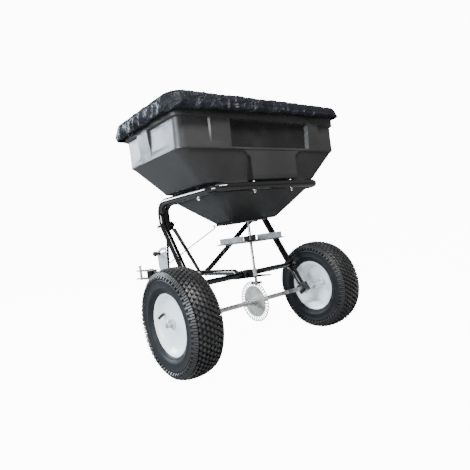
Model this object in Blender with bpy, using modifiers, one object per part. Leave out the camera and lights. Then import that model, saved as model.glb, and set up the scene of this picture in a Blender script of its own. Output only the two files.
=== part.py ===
"""Tow-behind broadcast spreader: hopper, tube frame, ground-driven spinner and tow hitch.

Frame: metres, +Z up, +Y the towing direction, +X the machine's right. Every piece hangs from one empty
on the ground under the axle, which sits so that the world's origin is under the middle of the machine.
"""
import math

import bmesh
import bpy
from mathutils import Matrix, Vector

# Ground drive
TYRE_RADIUS = 0.165
TYRE_WIDTH = 0.098
TYRE_WALL = 0.008
TYRE_BEAD = 0.011
RIM_RADIUS = 0.0930
RIM_WIDTH = 0.068
RIM_WELL_RADIUS = 0.076
RIM_SHEET = 0.0026
WHEEL_X = 0.3137
HUB_RADIUS = 0.0150
HUB_LENGTH = 0.066
AXLE_RADIUS = 0.0075
AXLE_HALF = 0.3600
COTTER_TURN = math.radians(35.0)
GEAR_X = -0.0178
GEAR_RADIUS = 0.069
GEAR_SHEET = 0.0016
GEAR_SLOTS = 40
GEAR_SLOT_INNER = 0.0530
GEAR_SLOT_OUTER = 0.0662
GEAR_SLOT_WIDTH = 0.0052
PINION_TEETH = 12
PINION_TIP = 0.0197
PINION_ROOT = 0.0120
PINION_TOOTH = 0.0024
PINION_LOW = 0.2222
PINION_HEIGHT = 0.0062

# Spinner
SHAFT_RADIUS = 0.0048
SHAFT_LOW = 0.2160
SHAFT_HIGH = 0.4860
IMPELLER_Z = 0.3690
IMPELLER_RADIUS = 0.1165
IMPELLER_SHEET = 0.0025
FIN_HEIGHT = 0.0190
FIN_TURN = math.radians(38.0)

# Frame
TUBE_RADIUS = 0.0127
GAP = 0.0003
RING_Z = 0.5385
RING_X = 0.2185
LEG_X = 0.2285
RING_REAR_Y = -0.1450
RING_CORNER = 0.050
RING_BEND = 0.040
LEG_TOP_Y = 0.1760
LEG_JOINT_Z = 0.4860
LEG_LEAN = math.radians(30.3)
ARCH_RADIUS = 0.0110
ARCH_FRONT_Y = 0.1570
ARCH_FOOT_Y = 0.1880
ARCH_LOW_Z = 0.4420
CROSS_RADIUS = 0.0095
CROSS_Z = 0.2580
AXLE_BLOCK = 0.034
AXLE_BLOCK_WIDTH = 0.026
BUSH_OUTER = 0.0112
BUSH_FLANGE = 0.0140
DRAWBAR_RADIUS = 0.0110
DRAWBAR_Z = 0.2625
DRAWBAR_FRONT_Y = 0.7350
BRACE_WIDTH = 0.0190
BRACE_SHEET = 0.0040
BRACE_TOP_Z = 0.4600
BRACE_FOOT_Y = 0.3150
LEG_BOLT_Y = 0.1820
BOLT_HOLE = 0.0034
CROSS_ALONG = 0.0985
QUADRANT_BOLT_Y = 0.0480

# Hitch
CLEVIS_BLOCK_LENGTH = 0.050
CLEVIS_BLOCK_HEIGHT = 0.0350
CLEVIS_BLOCK_WIDTH = 0.030
CLEVIS_LOW_Z = 0.2405
CLEVIS_SHEET = 0.0040
CLEVIS_WIDTH = 0.044
CLEVIS_LOWER_FRONT = 0.9160
CLEVIS_UPPER_FRONT = 0.9040
PIN_Y = 0.8820
PIN_RADIUS = 0.00635
PIN_HOLE_RADIUS = 0.0070

# Hopper
HOPPER_Y = 0.0070
HOPPER_WALL = 0.0035
HOPPER_TOP_Z = 0.7950
HOPPER_FLOOR_Z = 0.4410
FLOOR_HALF_X = 0.1000
FLOOR_HALF_Y = 0.0470
COVER_CREST = 0.0170
COVER_HALF_X = 0.3600
COVER_HALF_Y = 0.1880

# Flow control
FLOW_PLATE_SHEET = 0.0020
GATE_SHEET = 0.0020
OUTLET_X = 0.0255
OUTLET_Y = -0.0230
OUTLET_LENGTH = 0.028
OUTLET_WIDTH = 0.026
LEVER_Y = 0.5710
LEVER_Z = 0.2625
LEVER_X = -0.0137
LEVER_SHEET = 0.0040
LEVER_LEAN = math.radians(10.4)
LEVER_ARM = 0.0500
LEVER_LENGTH = 0.1900
ROD_RADIUS = 0.0025
ROD_HOOK_X = -0.0450
ROD_HOOK_Y = 0.1350
QUADRANT_X = -0.0210
QUADRANT_SHEET = 0.0020
QUADRANT_RADIUS = 0.1050
STOP_ANGLE = math.radians(24.5)
STOP_TRAVEL = math.radians(5.0)

AXLE_Y = (COVER_HALF_Y - HOPPER_Y - CLEVIS_LOWER_FRONT) / 2.0
ROUND_STEPS = 36


# ---------------------------------------------------------------- helpers

def clear_scene():
    for item in list(bpy.data.objects):
        bpy.data.objects.remove(item, do_unlink=True)


def new_collection(name):
    collection = bpy.data.collections.new(name)
    bpy.context.scene.collection.children.link(collection)
    return collection


def material(name, color, roughness, metallic=0.0):
    made = bpy.data.materials.new(name)
    made.use_nodes = True
    shader = made.node_tree.nodes["Principled BSDF"]
    shader.inputs["Base Color"].default_value = (*color, 1.0)
    shader.inputs["Roughness"].default_value = roughness
    shader.inputs["Metallic"].default_value = metallic
    return made


def add_object(name, data, matrix=None):
    """Put a mesh or curve in the part's collection, under the axle empty."""
    made = bpy.data.objects.new(name, data)
    PARTS.objects.link(made)
    made.parent = ROOT
    made.matrix_local = matrix if matrix else Matrix()
    data.materials.append(MATERIALS[name])
    return made


def mesh_from(name, shape):
    bmesh.ops.recalc_face_normals(shape, faces=shape.faces)
    mesh = bpy.data.meshes.new(name)
    shape.to_mesh(mesh)
    shape.free()
    return mesh


def smooth(made, angle=35.0):
    made.data.shade_smooth()
    made.data.set_sharp_from_angle(angle=math.radians(angle))
    return made


def add_box(shape, size, centre, turn=None):
    matrix = Matrix.Translation(centre) @ (turn or Matrix()) @ Matrix.Diagonal((*size, 1.0))
    bmesh.ops.create_cube(shape, size=1.0, matrix=matrix)


def add_rod(shape, start, end, radius, sides=16):
    """A capped cylinder between two points."""
    start = Vector(start)
    run = Vector(end) - start
    matrix = Matrix.Translation(start + run / 2.0) @ run.to_track_quat("Z", "Y").to_matrix().to_4x4()
    bmesh.ops.create_cone(shape, cap_ends=True, segments=sides, radius1=radius, radius2=radius,
                          depth=run.length, matrix=matrix)


def add_prism(shape, outline, run):
    """A flat outline pushed along a vector, closed at both ends."""
    start = [shape.verts.new(point) for point in outline]
    end = [shape.verts.new(point + run) for point in outline]
    shape.faces.new(list(reversed(start)))
    shape.faces.new(end)
    for i in range(len(outline)):
        j = (i + 1) % len(outline)
        shape.faces.new((start[i], start[j], end[j], end[i]))


def solid(name, build, matrix=None, bevel=0.0):
    """One node from a function that fills a bmesh."""
    shape = bmesh.new()
    build(shape)
    made = add_object(name, mesh_from(name, shape), matrix)
    if bevel:
        edge = made.modifiers.new("rounded edges", "BEVEL")
        edge.width = bevel
        edge.segments = 2
        edge.limit_method = "ANGLE"
    return smooth(made)


def arc(centre, radius, start, end, steps):
    return [(centre[0] + radius * math.cos(start + (end - start) * i / steps),
             centre[1] + radius * math.sin(start + (end - start) * i / steps)) for i in range(steps + 1)]


def circle(centre, radius, steps=24):
    return arc(centre, radius, 0.0, math.tau, steps)[:-1]


def plate(name, outlines, thickness, matrix):
    """A flat sheet: the first outline is its edge, the others are holes."""
    curve = bpy.data.curves.new(name, "CURVE")
    curve.dimensions = "2D"
    curve.fill_mode = "BOTH"
    curve.extrude = thickness / 2.0
    for outline in outlines:
        spline = curve.splines.new("POLY")
        spline.points.add(len(outline) - 1)
        for point, (x, y) in zip(spline.points, outline):
            point.co = (x, y, 0.0, 1.0)
        spline.use_cyclic_u = True
    return add_object(name, curve, matrix)


def side_view(x):
    """Stands a plate drawn in (y, z) upright at x."""
    return Matrix(((0, 0, 1, x), (1, 0, 0, 0), (0, 1, 0, 0), (0, 0, 0, 1)))


def rounded_path(corners, radii, steps=6):
    """The corner points with an arc at each inner corner."""
    points = [Vector(corners[0])]
    for before, corner, after, radius in zip(corners, corners[1:], corners[2:], radii):
        corner = Vector(corner)
        back = (Vector(before) - corner).normalized()
        ahead = (Vector(after) - corner).normalized()
        half = back.angle(ahead) / 2.0
        reach = radius / math.tan(half)
        middle = corner + (back + ahead).normalized() * radius / math.sin(half)
        start = corner + back * reach - middle
        turn = math.pi - 2.0 * half
        axis = start.cross(corner + ahead * reach - middle).normalized()
        for i in range(steps + 1):
            points.append(middle + Matrix.Rotation(turn * i / steps, 3, axis) @ start)
    points.append(Vector(corners[-1]))
    return points


def tube_curve(name, points, radius, resolution=4):
    curve = bpy.data.curves.new(name, "CURVE")
    curve.dimensions = "3D"
    curve.bevel_depth = radius
    curve.bevel_resolution = resolution
    curve.use_fill_caps = True
    spline = curve.splines.new("POLY")
    spline.points.add(len(points) - 1)
    for point, place in zip(spline.points, points):
        point.co = (*place, 1.0)
    return curve


def tube(name, points, radius, resolution=4):
    return add_object(name, tube_curve(name, points, radius, resolution))


def tube_mesh(name, points, radius, resolution=4):
    """A tube as one welded mesh, for pieces that are pressed flat or drilled."""
    carrier = bpy.data.objects.new(name + "_curve", tube_curve(name + "_curve", points, radius, resolution))
    PARTS.objects.link(carrier)
    bpy.context.view_layer.update()
    evaluated = carrier.evaluated_get(bpy.context.evaluated_depsgraph_get())
    mesh = bpy.data.meshes.new_from_object(evaluated)
    bpy.data.objects.remove(carrier, do_unlink=True)
    shape = bmesh.new()
    shape.from_mesh(mesh)
    bmesh.ops.remove_doubles(shape, verts=shape.verts, dist=0.00001)
    return shape


def turned(name, profile, matrix, steps=ROUND_STEPS):
    """A closed (radius, height) profile spun about Z, then placed."""
    shape = bmesh.new()
    ring = [shape.verts.new((radius, 0.0, height)) for radius, height in profile]
    for a, b in zip(ring, ring[1:] + ring[:1]):
        shape.edges.new((a, b))
    mesh = bpy.data.meshes.new(name)
    shape.to_mesh(mesh)
    shape.free()
    made = add_object(name, mesh, matrix)
    spin = made.modifiers.new("turned", "SCREW")
    spin.steps = steps
    spin.render_steps = steps
    spin.use_merge_vertices = True
    spin.merge_threshold = 0.00001
    spin.use_smooth_shade = True
    return made


def along_x(x, y, z, mirrored=False):
    """Lays a turned piece's axis along X, its top towards -X, or towards +X if mirrored."""
    angle = math.radians(90.0 if mirrored else -90.0)
    return Matrix.Translation((x, y, z)) @ Matrix.Rotation(angle, 4, "Y")


def ring_profile(inner, outer, low, high):
    return [(outer, high), (outer, low), (inner, low), (inner, high)]


def join(target, name, shape, operation):
    """Cuts a second mesh out of the target, or joins it on."""
    tool = bpy.data.objects.new(name, mesh_from(name, shape))
    CUTTERS.objects.link(tool)
    tool.parent = ROOT
    tool.hide_render = True
    tool.display_type = "WIRE"
    step = target.modifiers.new(name, "BOOLEAN")
    step.operation = operation
    step.solver = "EXACT"
    step.object = tool


def drill(target, name, start, end, radius):
    shape = bmesh.new()
    add_rod(shape, start, end, radius, 14)
    join(target, name, shape, "DIFFERENCE")


def drill_across(target, name, x, y, z):
    """A bolt hole along X through the piece at x."""
    drill(target, name, (x - 0.02, y, z), (x + 0.02, y, z), BOLT_HOLE)


def bolt(name, start, end, radius=0.0030, head=0.0062):
    """A through bolt between two faces, with a hexagon head at one end and a nut at the other."""
    start = Vector(start)
    end = Vector(end)
    run = (end - start).normalized()

    def shank(shape):
        add_rod(shape, start - run * 0.001, end + run * 0.0075, radius, 16)

    made = solid(name, shank)
    ends = bmesh.new()
    add_rod(ends, start - run * (GAP + 0.0042), start - run * GAP, head, 6)
    add_rod(ends, end + run * GAP, end + run * (GAP + 0.0050), head, 6)
    join(made, name + "_head_and_nut", ends, "UNION")


# ---------------------------------------------------------------- wheels and axle

def tyre_section():
    """Half the casing's outline in (radius, offset) from the tread's middle to the bead's toe."""
    half = TYRE_WIDTH / 2.0
    depth = TYRE_RADIUS - RIM_WELL_RADIUS
    outer = [(TYRE_RADIUS - depth * drop, half * side)
             for drop, side in ((0.0, 0.0), (0.012, 0.45), (0.06, 0.74), (0.17, 0.93), (0.36, 1.0),
                                (0.58, 0.96), (0.74, 0.82), (0.80, 0.70))]
    return outer


def add_tyre(side, mirrored):
    outer = tyre_section()
    bead = RIM_WIDTH / 2.0 - RIM_SHEET - GAP
    toe = bead - TYRE_BEAD
    outer[-1] = (RIM_RADIUS + 0.0040, bead + 0.0030)
    outer.append((RIM_RADIUS + 0.0006, bead))
    outer.append((RIM_WELL_RADIUS + RIM_SHEET + GAP, bead))
    inner = [(RIM_WELL_RADIUS + RIM_SHEET + GAP, toe)]
    inner += [(radius - TYRE_WALL * 0.9, offset - TYRE_WALL) for radius, offset in outer[5:2:-1]]
    inner += [(TYRE_RADIUS - TYRE_WALL * 1.6, outer[1][1] * 0.9)]
    left = outer + inner
    right = [(radius, -offset) for radius, offset in reversed(inner)]
    right += [(radius, -offset) for radius, offset in reversed(outer[1:])]
    profile = list(reversed(left + right))
    turned(side + "_tyre", profile, along_x(side_sign(side) * WHEEL_X, 0.0, TYRE_RADIUS, mirrored))


def side_sign(side):
    return -1.0 if side == "left" else 1.0


def add_rim(side, mirrored):
    """Pressed steel rim with a shallow dish, its rolled flanges outside the tyre's beads."""
    half = RIM_WIDTH / 2.0
    well = RIM_WELL_RADIUS
    sheet = RIM_SHEET
    bore = HUB_RADIUS + GAP
    face = 0.027
    upper = [(RIM_RADIUS, half), (RIM_RADIUS, half - sheet), (well + sheet, half - sheet),
             (well + sheet, -half + sheet), (RIM_RADIUS, -half + sheet), (RIM_RADIUS, -half), (well, -half)]
    hollow = face - 0.0035
    raised = face - 0.0015
    dish = [(well, face - sheet), (0.058, hollow - sheet), (0.030, hollow - sheet), (bore, raised - sheet),
            (bore, raised), (0.031, hollow), (0.059, hollow), (well, face), (well, half)]
    turned(side + "_rim", upper + dish, along_x(side_sign(side) * WHEEL_X, 0.0, TYRE_RADIUS, mirrored))


def add_hub(side, mirrored):
    half = HUB_LENGTH / 2.0
    bore = AXLE_RADIUS + (GAP if side == "left" else 0.0006)
    turned(side + "_hub", ring_profile(bore, HUB_RADIUS, -half, half),
           along_x(side_sign(side) * WHEEL_X, 0.0, TYRE_RADIUS, mirrored), 32)


def add_valve(side):
    """Rubber valve stem standing out of the dish, angled towards the operator."""
    sign = side_sign(side)
    low = Vector((sign * (WHEEL_X + 0.0266), 0.052 * math.cos(0.6), TYRE_RADIUS + 0.052 * math.sin(0.6)))
    high = low + Vector((sign * 0.019, 0.003, -0.012))

    def build(shape):
        add_rod(shape, low, high, 0.0045, 12)

    solid(side + "_valve_stem", build)


def add_axle():
    """Axle rod, cross drilled for the cotter pins outside the hubs, with a thrust washer at each end."""
    def rod(shape):
        add_rod(shape, (-AXLE_HALF, 0.0, TYRE_RADIUS), (AXLE_HALF, 0.0, TYRE_RADIUS), AXLE_RADIUS, 24)

    axle = solid("axle", rod)
    across = Vector((0.0, math.sin(COTTER_TURN), math.cos(COTTER_TURN)))
    for side in ("left", "right"):
        sign = side_sign(side)
        washer_x = sign * (WHEEL_X + HUB_LENGTH / 2.0 + 0.0014)
        turned(side + "_washer", ring_profile(AXLE_RADIUS + GAP, 0.0125, -0.001, 0.001),
               along_x(washer_x, 0.0, TYRE_RADIUS), 24)
        centre = Vector((washer_x + sign * 0.0036, 0.0, TYRE_RADIUS))
        drill(axle, side + "_cotter_hole", centre - across * 0.02, centre + across * 0.02, 0.0022)

        def pin(shape, centre=centre):
            add_rod(shape, centre - across * 0.019, centre + across * 0.015, 0.0018, 12)

        solid(side + "_cotter_pin", pin)


def add_gear():
    """Slotted disc gear: its radial slots take the pinion's teeth like a crown wheel."""
    outlines = [circle((0.0, 0.0), GEAR_RADIUS, 80), circle((0.0, 0.0), AXLE_RADIUS + GAP, 24)]
    half = GEAR_SLOT_WIDTH / 2.0
    for i in range(GEAR_SLOTS):
        turn = Matrix.Rotation(math.tau * i / GEAR_SLOTS, 2)
        corners = [(-half, GEAR_SLOT_INNER), (half, GEAR_SLOT_INNER),
                   (half, GEAR_SLOT_OUTER), (-half, GEAR_SLOT_OUTER)]
        outlines.append([tuple(turn @ Vector(corner)) for corner in corners])
    place = Matrix.Translation((0.0, 0.0, TYRE_RADIUS)) @ side_view(GEAR_X)
    plate("drive_gear", outlines, GEAR_SHEET, place)
    collar = ring_profile(AXLE_RADIUS + GAP, 0.0130, -0.007, 0.007)
    collar_x = GEAR_X - GEAR_SHEET / 2.0 - 0.007 - GAP
    turned("gear_collar", collar, along_x(collar_x, 0.0, TYRE_RADIUS), 24)


# ---------------------------------------------------------------- spinner

def add_spinner():
    def shaft(shape):
        add_rod(shape, (0.0, 0.0, SHAFT_LOW), (0.0, 0.0, SHAFT_HIGH), SHAFT_RADIUS, 20)

    solid("impeller_shaft", shaft)
    add_pinion()
    add_impeller()
    add_agitator()


def add_impeller():
    """Throwing disc, hub and four angle-section fins, joined as one piece."""
    low = IMPELLER_Z - IMPELLER_SHEET / 2.0
    top = IMPELLER_Z + IMPELLER_SHEET / 2.0
    bore = SHAFT_RADIUS + GAP
    profile = [(bore, top + 0.018), (0.0115, top + 0.018), (0.0130, top + 0.004), (0.0130, top),
               (IMPELLER_RADIUS, top), (IMPELLER_RADIUS, low), (bore, low)]
    disc = turned("impeller", profile, Matrix(), 56)
    sheet = 0.0022
    outline = [(0.0, -0.0012), (0.011, -0.0012), (0.011, sheet), (sheet, sheet), (sheet, FIN_HEIGHT),
               (0.0, FIN_HEIGHT)]
    fins = bmesh.new()
    for i in range(4):
        turn = Matrix.Rotation(FIN_TURN + i * math.pi / 2.0, 3, "Z")
        start = [turn @ Vector((0.024, y, top + z)) for y, z in outline]
        add_prism(fins, start, turn @ Vector((0.084, 0.0, 0.0)))
    join(disc, "impeller_fins", fins, "UNION")


def add_pinion():
    outline = []
    half = PINION_TOOTH / 2.0
    root = math.sqrt(PINION_ROOT ** 2 - (half * 1.3) ** 2)
    for i in range(PINION_TEETH):
        turn = Matrix.Rotation(-math.tau * i / PINION_TEETH, 2)
        for corner in ((-root, -half * 1.3), (-PINION_TIP, -half), (-PINION_TIP, half), (-root, half * 1.3)):
            outline.append(tuple(turn @ Vector(corner)))
    bore = circle((0.0, 0.0), SHAFT_RADIUS + GAP, 20)
    plate("pinion", [outline, bore], PINION_HEIGHT,
          Matrix.Translation((0.0, 0.0, PINION_LOW + PINION_HEIGHT / 2.0)))


def add_agitator():
    """A bent bar on the shaft's top that stirs the hopper's throat."""
    z = SHAFT_HIGH + GAP + 0.0024
    corners = [(-0.030, 0.004, z - 0.012), (-0.022, 0.0, z), (0.022, 0.0, z), (0.030, -0.004, z + 0.012)]
    tube("agitator", rounded_path(corners, (0.004, 0.004), 3), 0.0024, 2)


# ---------------------------------------------------------------- frame

def leg_point(along, out=0.0):
    """A point in the leg's (y, z) plane: along the leg from the axle, and out to its front."""
    return (math.sin(LEG_LEAN) * along + math.cos(LEG_LEAN) * out,
            TYRE_RADIUS + math.cos(LEG_LEAN) * along - math.sin(LEG_LEAN) * out)


def add_ring():
    """One bent tube round the hopper, its front ends turned down to the legs."""
    corners = [(-LEG_X, LEG_TOP_Y, LEG_JOINT_Z), (-LEG_X, LEG_TOP_Y, RING_Z), (-RING_X, RING_REAR_Y, RING_Z),
               (RING_X, RING_REAR_Y, RING_Z), (LEG_X, LEG_TOP_Y, RING_Z), (LEG_X, LEG_TOP_Y, LEG_JOINT_Z)]
    tube("hopper_ring", rounded_path(corners, (RING_BEND, RING_CORNER, RING_CORNER, RING_BEND)), TUBE_RADIUS)


def add_legs():
    elbow_along = LEG_TOP_Y / math.sin(LEG_LEAN)
    for side in ("left", "right"):
        x = side_sign(side) * LEG_X
        foot = leg_point(AXLE_BLOCK / 2.0 + GAP)
        elbow = leg_point(elbow_along)
        corners = [(x, *foot), (x, *elbow), (x, LEG_TOP_Y, LEG_JOINT_Z - GAP)]
        shape = tube_mesh(side + "_leg", rounded_path(corners, (0.040,)), TUBE_RADIUS)
        leg = smooth(add_object(side + "_leg", mesh_from(side + "_leg", shape)))
        drill_across(leg, side + "_leg_brace_hole", x, LEG_BOLT_Y, BRACE_TOP_Z)
        behind, ahead = cross_bolt_line(x)
        drill(leg, side + "_leg_cross_hole", behind, ahead, BOLT_HOLE)
        add_axle_block(side, x)


def cross_bolt_line(x):
    """Ends of a line square through the cross tube's flat end and the leg."""
    behind = leg_point(CROSS_ALONG, -0.030)
    ahead = leg_point(CROSS_ALONG, 0.030)
    return Vector((x, *behind)), Vector((x, *ahead))


def add_axle_block(side, x):
    half = AXLE_BLOCK / 2.0
    outline = [(-half, -half), (half, -half), (half, half), (-half, half)]
    turn = Matrix.Rotation(-LEG_LEAN, 4, "X")
    place = Matrix.Translation((x, 0.0, TYRE_RADIUS)) @ turn @ side_view(0.0)
    plate(side + "_axle_bracket", [outline, circle((0.0, 0.0), BUSH_OUTER + GAP, 28)], AXLE_BLOCK_WIDTH, place)
    half_width = AXLE_BLOCK_WIDTH / 2.0 + GAP
    bore = AXLE_RADIUS + 0.0004
    profile = [(BUSH_FLANGE, half_width + 0.003), (BUSH_FLANGE, half_width), (BUSH_OUTER, half_width),
               (BUSH_OUTER, -half_width), (bore, -half_width), (bore, half_width + 0.003)]
    turned(side + "_axle_bush", profile, along_x(x, 0.0, TYRE_RADIUS, side == "left"), 28)


def add_arch():
    """The front hoop that closes the ring and bolts inside the leg tops."""
    x = LEG_X - TUBE_RADIUS - ARCH_RADIUS - GAP
    corners = [(-x, ARCH_FOOT_Y, ARCH_LOW_Z), (-x, ARCH_FOOT_Y, RING_Z - 0.025), (-x, ARCH_FRONT_Y, RING_Z),
               (x, ARCH_FRONT_Y, RING_Z), (x, ARCH_FOOT_Y, RING_Z - 0.025), (x, ARCH_FOOT_Y, ARCH_LOW_Z)]
    shape = tube_mesh("front_arch", rounded_path(corners, (0.016, 0.020, 0.020, 0.016)), ARCH_RADIUS)
    arch = smooth(add_object("front_arch", mesh_from("front_arch", shape)))
    for side in ("left", "right"):
        middle = side_sign(side) * x
        drill_across(arch, side + "_arch_hole", middle, LEG_BOLT_Y, BRACE_TOP_Z)


def add_cross_tube():
    """Cross tube behind the legs, its ends pressed flat and turned to lie along them."""
    end = LEG_X + 0.007
    taper_start = 0.188
    taper_end = 0.210
    stations = [-end, -taper_end, -taper_start, taper_start, taper_end, end]
    shape = tube_mesh("cross_tube", [Vector((x, 0.0, 0.0)) for x in stations], CROSS_RADIUS)
    centre = leg_point(CROSS_ALONG, -(TUBE_RADIUS + GAP + 0.0027))
    for vert in shape.verts:
        share = (abs(vert.co.x) - taper_start) / (taper_end - taper_start)
        share = min(max(share, 0.0), 1.0)
        y = vert.co.y * (1.0 - share * 0.72)
        z = vert.co.z * (1.0 + share * 0.40)
        lean = -LEG_LEAN * share
        vert.co.y = centre[0] + y * math.cos(lean) - z * math.sin(lean)
        vert.co.z = centre[1] + y * math.sin(lean) + z * math.cos(lean)
    cross_tube = smooth(add_object("cross_tube", mesh_from("cross_tube", shape)))
    for side in ("left", "right"):
        behind, ahead = cross_bolt_line(side_sign(side) * LEG_X)
        drill(cross_tube, side + "_cross_hole", behind, ahead, BOLT_HOLE)
        run = (ahead - behind).normalized()
        axis_point = (behind + ahead) / 2.0
        bolt(side + "_cross_bolt", axis_point - run * (TUBE_RADIUS + 0.0060), axis_point + run * TUBE_RADIUS)
    return centre


def add_shaft_support(cross):
    """Base plate under the cross tube, the saddle over it and the spinner's lower bearing."""
    sheet = 0.003
    top = cross[1] - CROSS_RADIUS - GAP
    outline = [(-0.055, 0.041), (0.033, -0.039), (0.045, -0.032), (0.040, 0.030), (0.022, 0.090),
               (-0.055, 0.090)]
    bore = circle((0.0, 0.0), SHAFT_RADIUS + 0.0006, 20)
    plate("shaft_bracket", [outline, bore], sheet, Matrix.Translation((0.0, 0.0, top - sheet / 2.0)))
    sleeve = ring_profile(SHAFT_RADIUS + 0.0005, 0.0072, top + GAP, top + 0.026)
    turned("lower_bearing", sleeve, Matrix(), 24)
    add_saddle(cross, top)
    return top


def add_saddle(cross, low):
    """A channel clamped over the cross tube beside the shaft."""
    wall = 0.003
    inner = CROSS_RADIUS + 0.001
    crown = cross[1] + CROSS_RADIUS + 0.0008
    outline = [(cross[0] - inner - wall, low + GAP), (cross[0] - inner, low + GAP), (cross[0] - inner, crown),
               (cross[0] + inner, crown), (cross[0] + inner, low + GAP), (cross[0] + inner + wall, low + GAP),
               (cross[0] + inner + wall, crown + wall), (cross[0] - inner - wall, crown + wall)]
    plate("cross_saddle", [outline], 0.042, side_view(-0.011))


def add_drawbar(cross, plate_top):
    """Drawbar tube: its rear end is pressed flat on the base plate, its side is drilled for the lever."""
    rear_y = cross[0] + CROSS_RADIUS + 0.008
    stations = [rear_y, rear_y + 0.030, rear_y + 0.055, 0.58, 0.70, DRAWBAR_FRONT_Y]
    shape = tube_mesh("drawbar", [Vector((0.0, y, 0.0)) for y in stations], DRAWBAR_RADIUS)
    for vert in shape.verts:
        share = 1.0 - (vert.co.y - rear_y - 0.030) / 0.025
        share = min(max(share, 0.0), 1.0)
        flat_half = DRAWBAR_RADIUS * 0.30
        vert.co.x *= 1.0 + 0.40 * share
        axis_z = DRAWBAR_Z * (1.0 - share) + (plate_top + GAP + flat_half) * share
        vert.co.z = vert.co.z * (1.0 - 0.70 * share) + axis_z
    drawbar = add_object("drawbar", mesh_from("drawbar", shape))
    smooth(drawbar)
    drill_across(drawbar, "pivot_hole", 0.0, LEVER_Y, DRAWBAR_Z)
    drill_across(drawbar, "quadrant_hole", 0.0, LEVER_Y + QUADRANT_BOLT_Y, DRAWBAR_Z)
    drill_across(drawbar, "brace_hole", 0.0, BRACE_FOOT_Y, DRAWBAR_Z)


def add_braces():
    """Flat bars from the front arch's feet to the drawbar, their ends bent along it and bolted through."""
    arch_inner = LEG_X - TUBE_RADIUS - 2.0 * ARCH_RADIUS - GAP
    half = BRACE_SHEET / 2.0
    top_x = arch_inner - GAP - half
    foot_x = DRAWBAR_RADIUS + GAP + half
    for side in ("left", "right"):
        sign = side_sign(side)
        top = Vector((sign * top_x, LEG_BOLT_Y, BRACE_TOP_Z))
        foot = Vector((sign * foot_x, BRACE_FOOT_Y, DRAWBAR_Z))
        brace = solid(side + "_brace", flat_bar(top, foot, BRACE_WIDTH, BRACE_SHEET))
        drill_across(brace, side + "_brace_top_hole", *top)
        drill_across(brace, side + "_brace_foot_hole", *foot)
        outside = Vector((sign * (LEG_X + TUBE_RADIUS), LEG_BOLT_Y, BRACE_TOP_Z))
        bolt(side + "_leg_bolt", outside, top - Vector((sign * half, 0.0, 0.0)))
    reach = foot_x + half
    bolt("brace_bolt", (-reach, BRACE_FOOT_Y, DRAWBAR_Z), (reach, BRACE_FOOT_Y, DRAWBAR_Z))


def flat_bar(top, foot, width, sheet):
    """A flat bar on edge whose two ends are bent to lie flat against faces square to X."""
    run = (foot - top).normalized()
    level = run.cross(Vector((0.0, 0.0, 1.0))).normalized()
    level *= 1.0 if level.x > 0.0 else -1.0
    slope = Vector((0.0, run.y, run.z)).normalized()
    end_frame = (Vector((1.0, 0.0, 0.0)), Vector((1.0, 0.0, 0.0)).cross(slope))
    run_frame = (level, level.cross(run).normalized())
    length = (foot - top).length
    stations = [(top - slope * 0.012, end_frame), (top + slope * 0.012, end_frame),
                (top + run * 0.030, run_frame), (top + run * (length - 0.026), run_frame),
                (foot - slope * 0.010, end_frame), (foot + slope * 0.012, end_frame)]

    def build(shape):
        rings = [[shape.verts.new(place + side * sheet / 2.0 * a + rise * width / 2.0 * b)
                  for a, b in ((1, 1), (-1, 1), (-1, -1), (1, -1))] for place, (side, rise) in stations]
        shape.faces.new(rings[0])
        shape.faces.new(list(reversed(rings[-1])))
        for low, high in zip(rings, rings[1:]):
            for i in range(4):
                j = (i + 1) % 4
                shape.faces.new((low[i], low[j], high[j], high[i]))

    return build


# ---------------------------------------------------------------- hitch

def add_hitch():
    start = DRAWBAR_FRONT_Y + GAP
    middle = CLEVIS_LOW_Z + CLEVIS_BLOCK_HEIGHT / 2.0

    def block(shape):
        add_box(shape, (CLEVIS_BLOCK_WIDTH, CLEVIS_BLOCK_LENGTH, CLEVIS_BLOCK_HEIGHT),
                (0.0, start + CLEVIS_BLOCK_LENGTH / 2.0, middle))

    clevis = solid("clevis_block", block)
    low = CLEVIS_LOW_Z - GAP - CLEVIS_SHEET / 2.0
    high = CLEVIS_LOW_Z + CLEVIS_BLOCK_HEIGHT + GAP + CLEVIS_SHEET / 2.0
    bolt_rows = (DRAWBAR_FRONT_Y + 0.015, DRAWBAR_FRONT_Y + 0.037)
    for name, z, front in (("lower_clevis_plate", low, CLEVIS_LOWER_FRONT),
                           ("upper_clevis_plate", high, CLEVIS_UPPER_FRONT)):
        half = CLEVIS_WIDTH / 2.0
        outline = [(-half, start + 0.004), (half, start + 0.004)]
        outline += arc((0.0, front - half), half, 0.0, math.pi, 16)
        holes = [circle((0.0, PIN_Y), PIN_HOLE_RADIUS, 24)]
        holes += [circle((0.0, y), BOLT_HOLE, 16) for y in bolt_rows]
        plate(name, [outline] + holes, CLEVIS_SHEET, Matrix.Translation((0.0, 0.0, z)))
    for row, y in zip(("rear", "front"), bolt_rows):
        drill(clevis, row + "_clevis_hole", (0.0, y, low - 0.01), (0.0, y, high + 0.01), BOLT_HOLE)
        bolt(row + "_clevis_bolt", (0.0, y, low - CLEVIS_SHEET / 2.0), (0.0, y, high + CLEVIS_SHEET / 2.0),
             head=0.0070)
    add_hitch_pin(low, high)


def add_hitch_pin(low, high):
    """Drop-in pin turned in one piece: shank, washer head and knob."""
    foot = low - 0.009
    seat = high + CLEVIS_SHEET / 2.0 + GAP
    profile = [(0.0, seat + 0.024), (0.0060, seat + 0.024), (0.0080, seat + 0.020), (0.0080, seat + 0.014),
               (0.0055, seat + 0.010), (0.0055, seat + 0.003), (0.0110, seat + 0.003), (0.0110, seat),
               (PIN_RADIUS, seat), (PIN_RADIUS, foot + 0.004), (0.0035, foot), (0.0, foot)]
    shape_place = Matrix.Translation((0.0, PIN_Y, 0.0))
    open_turned("hitch_pin", profile, shape_place, 28)


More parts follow.
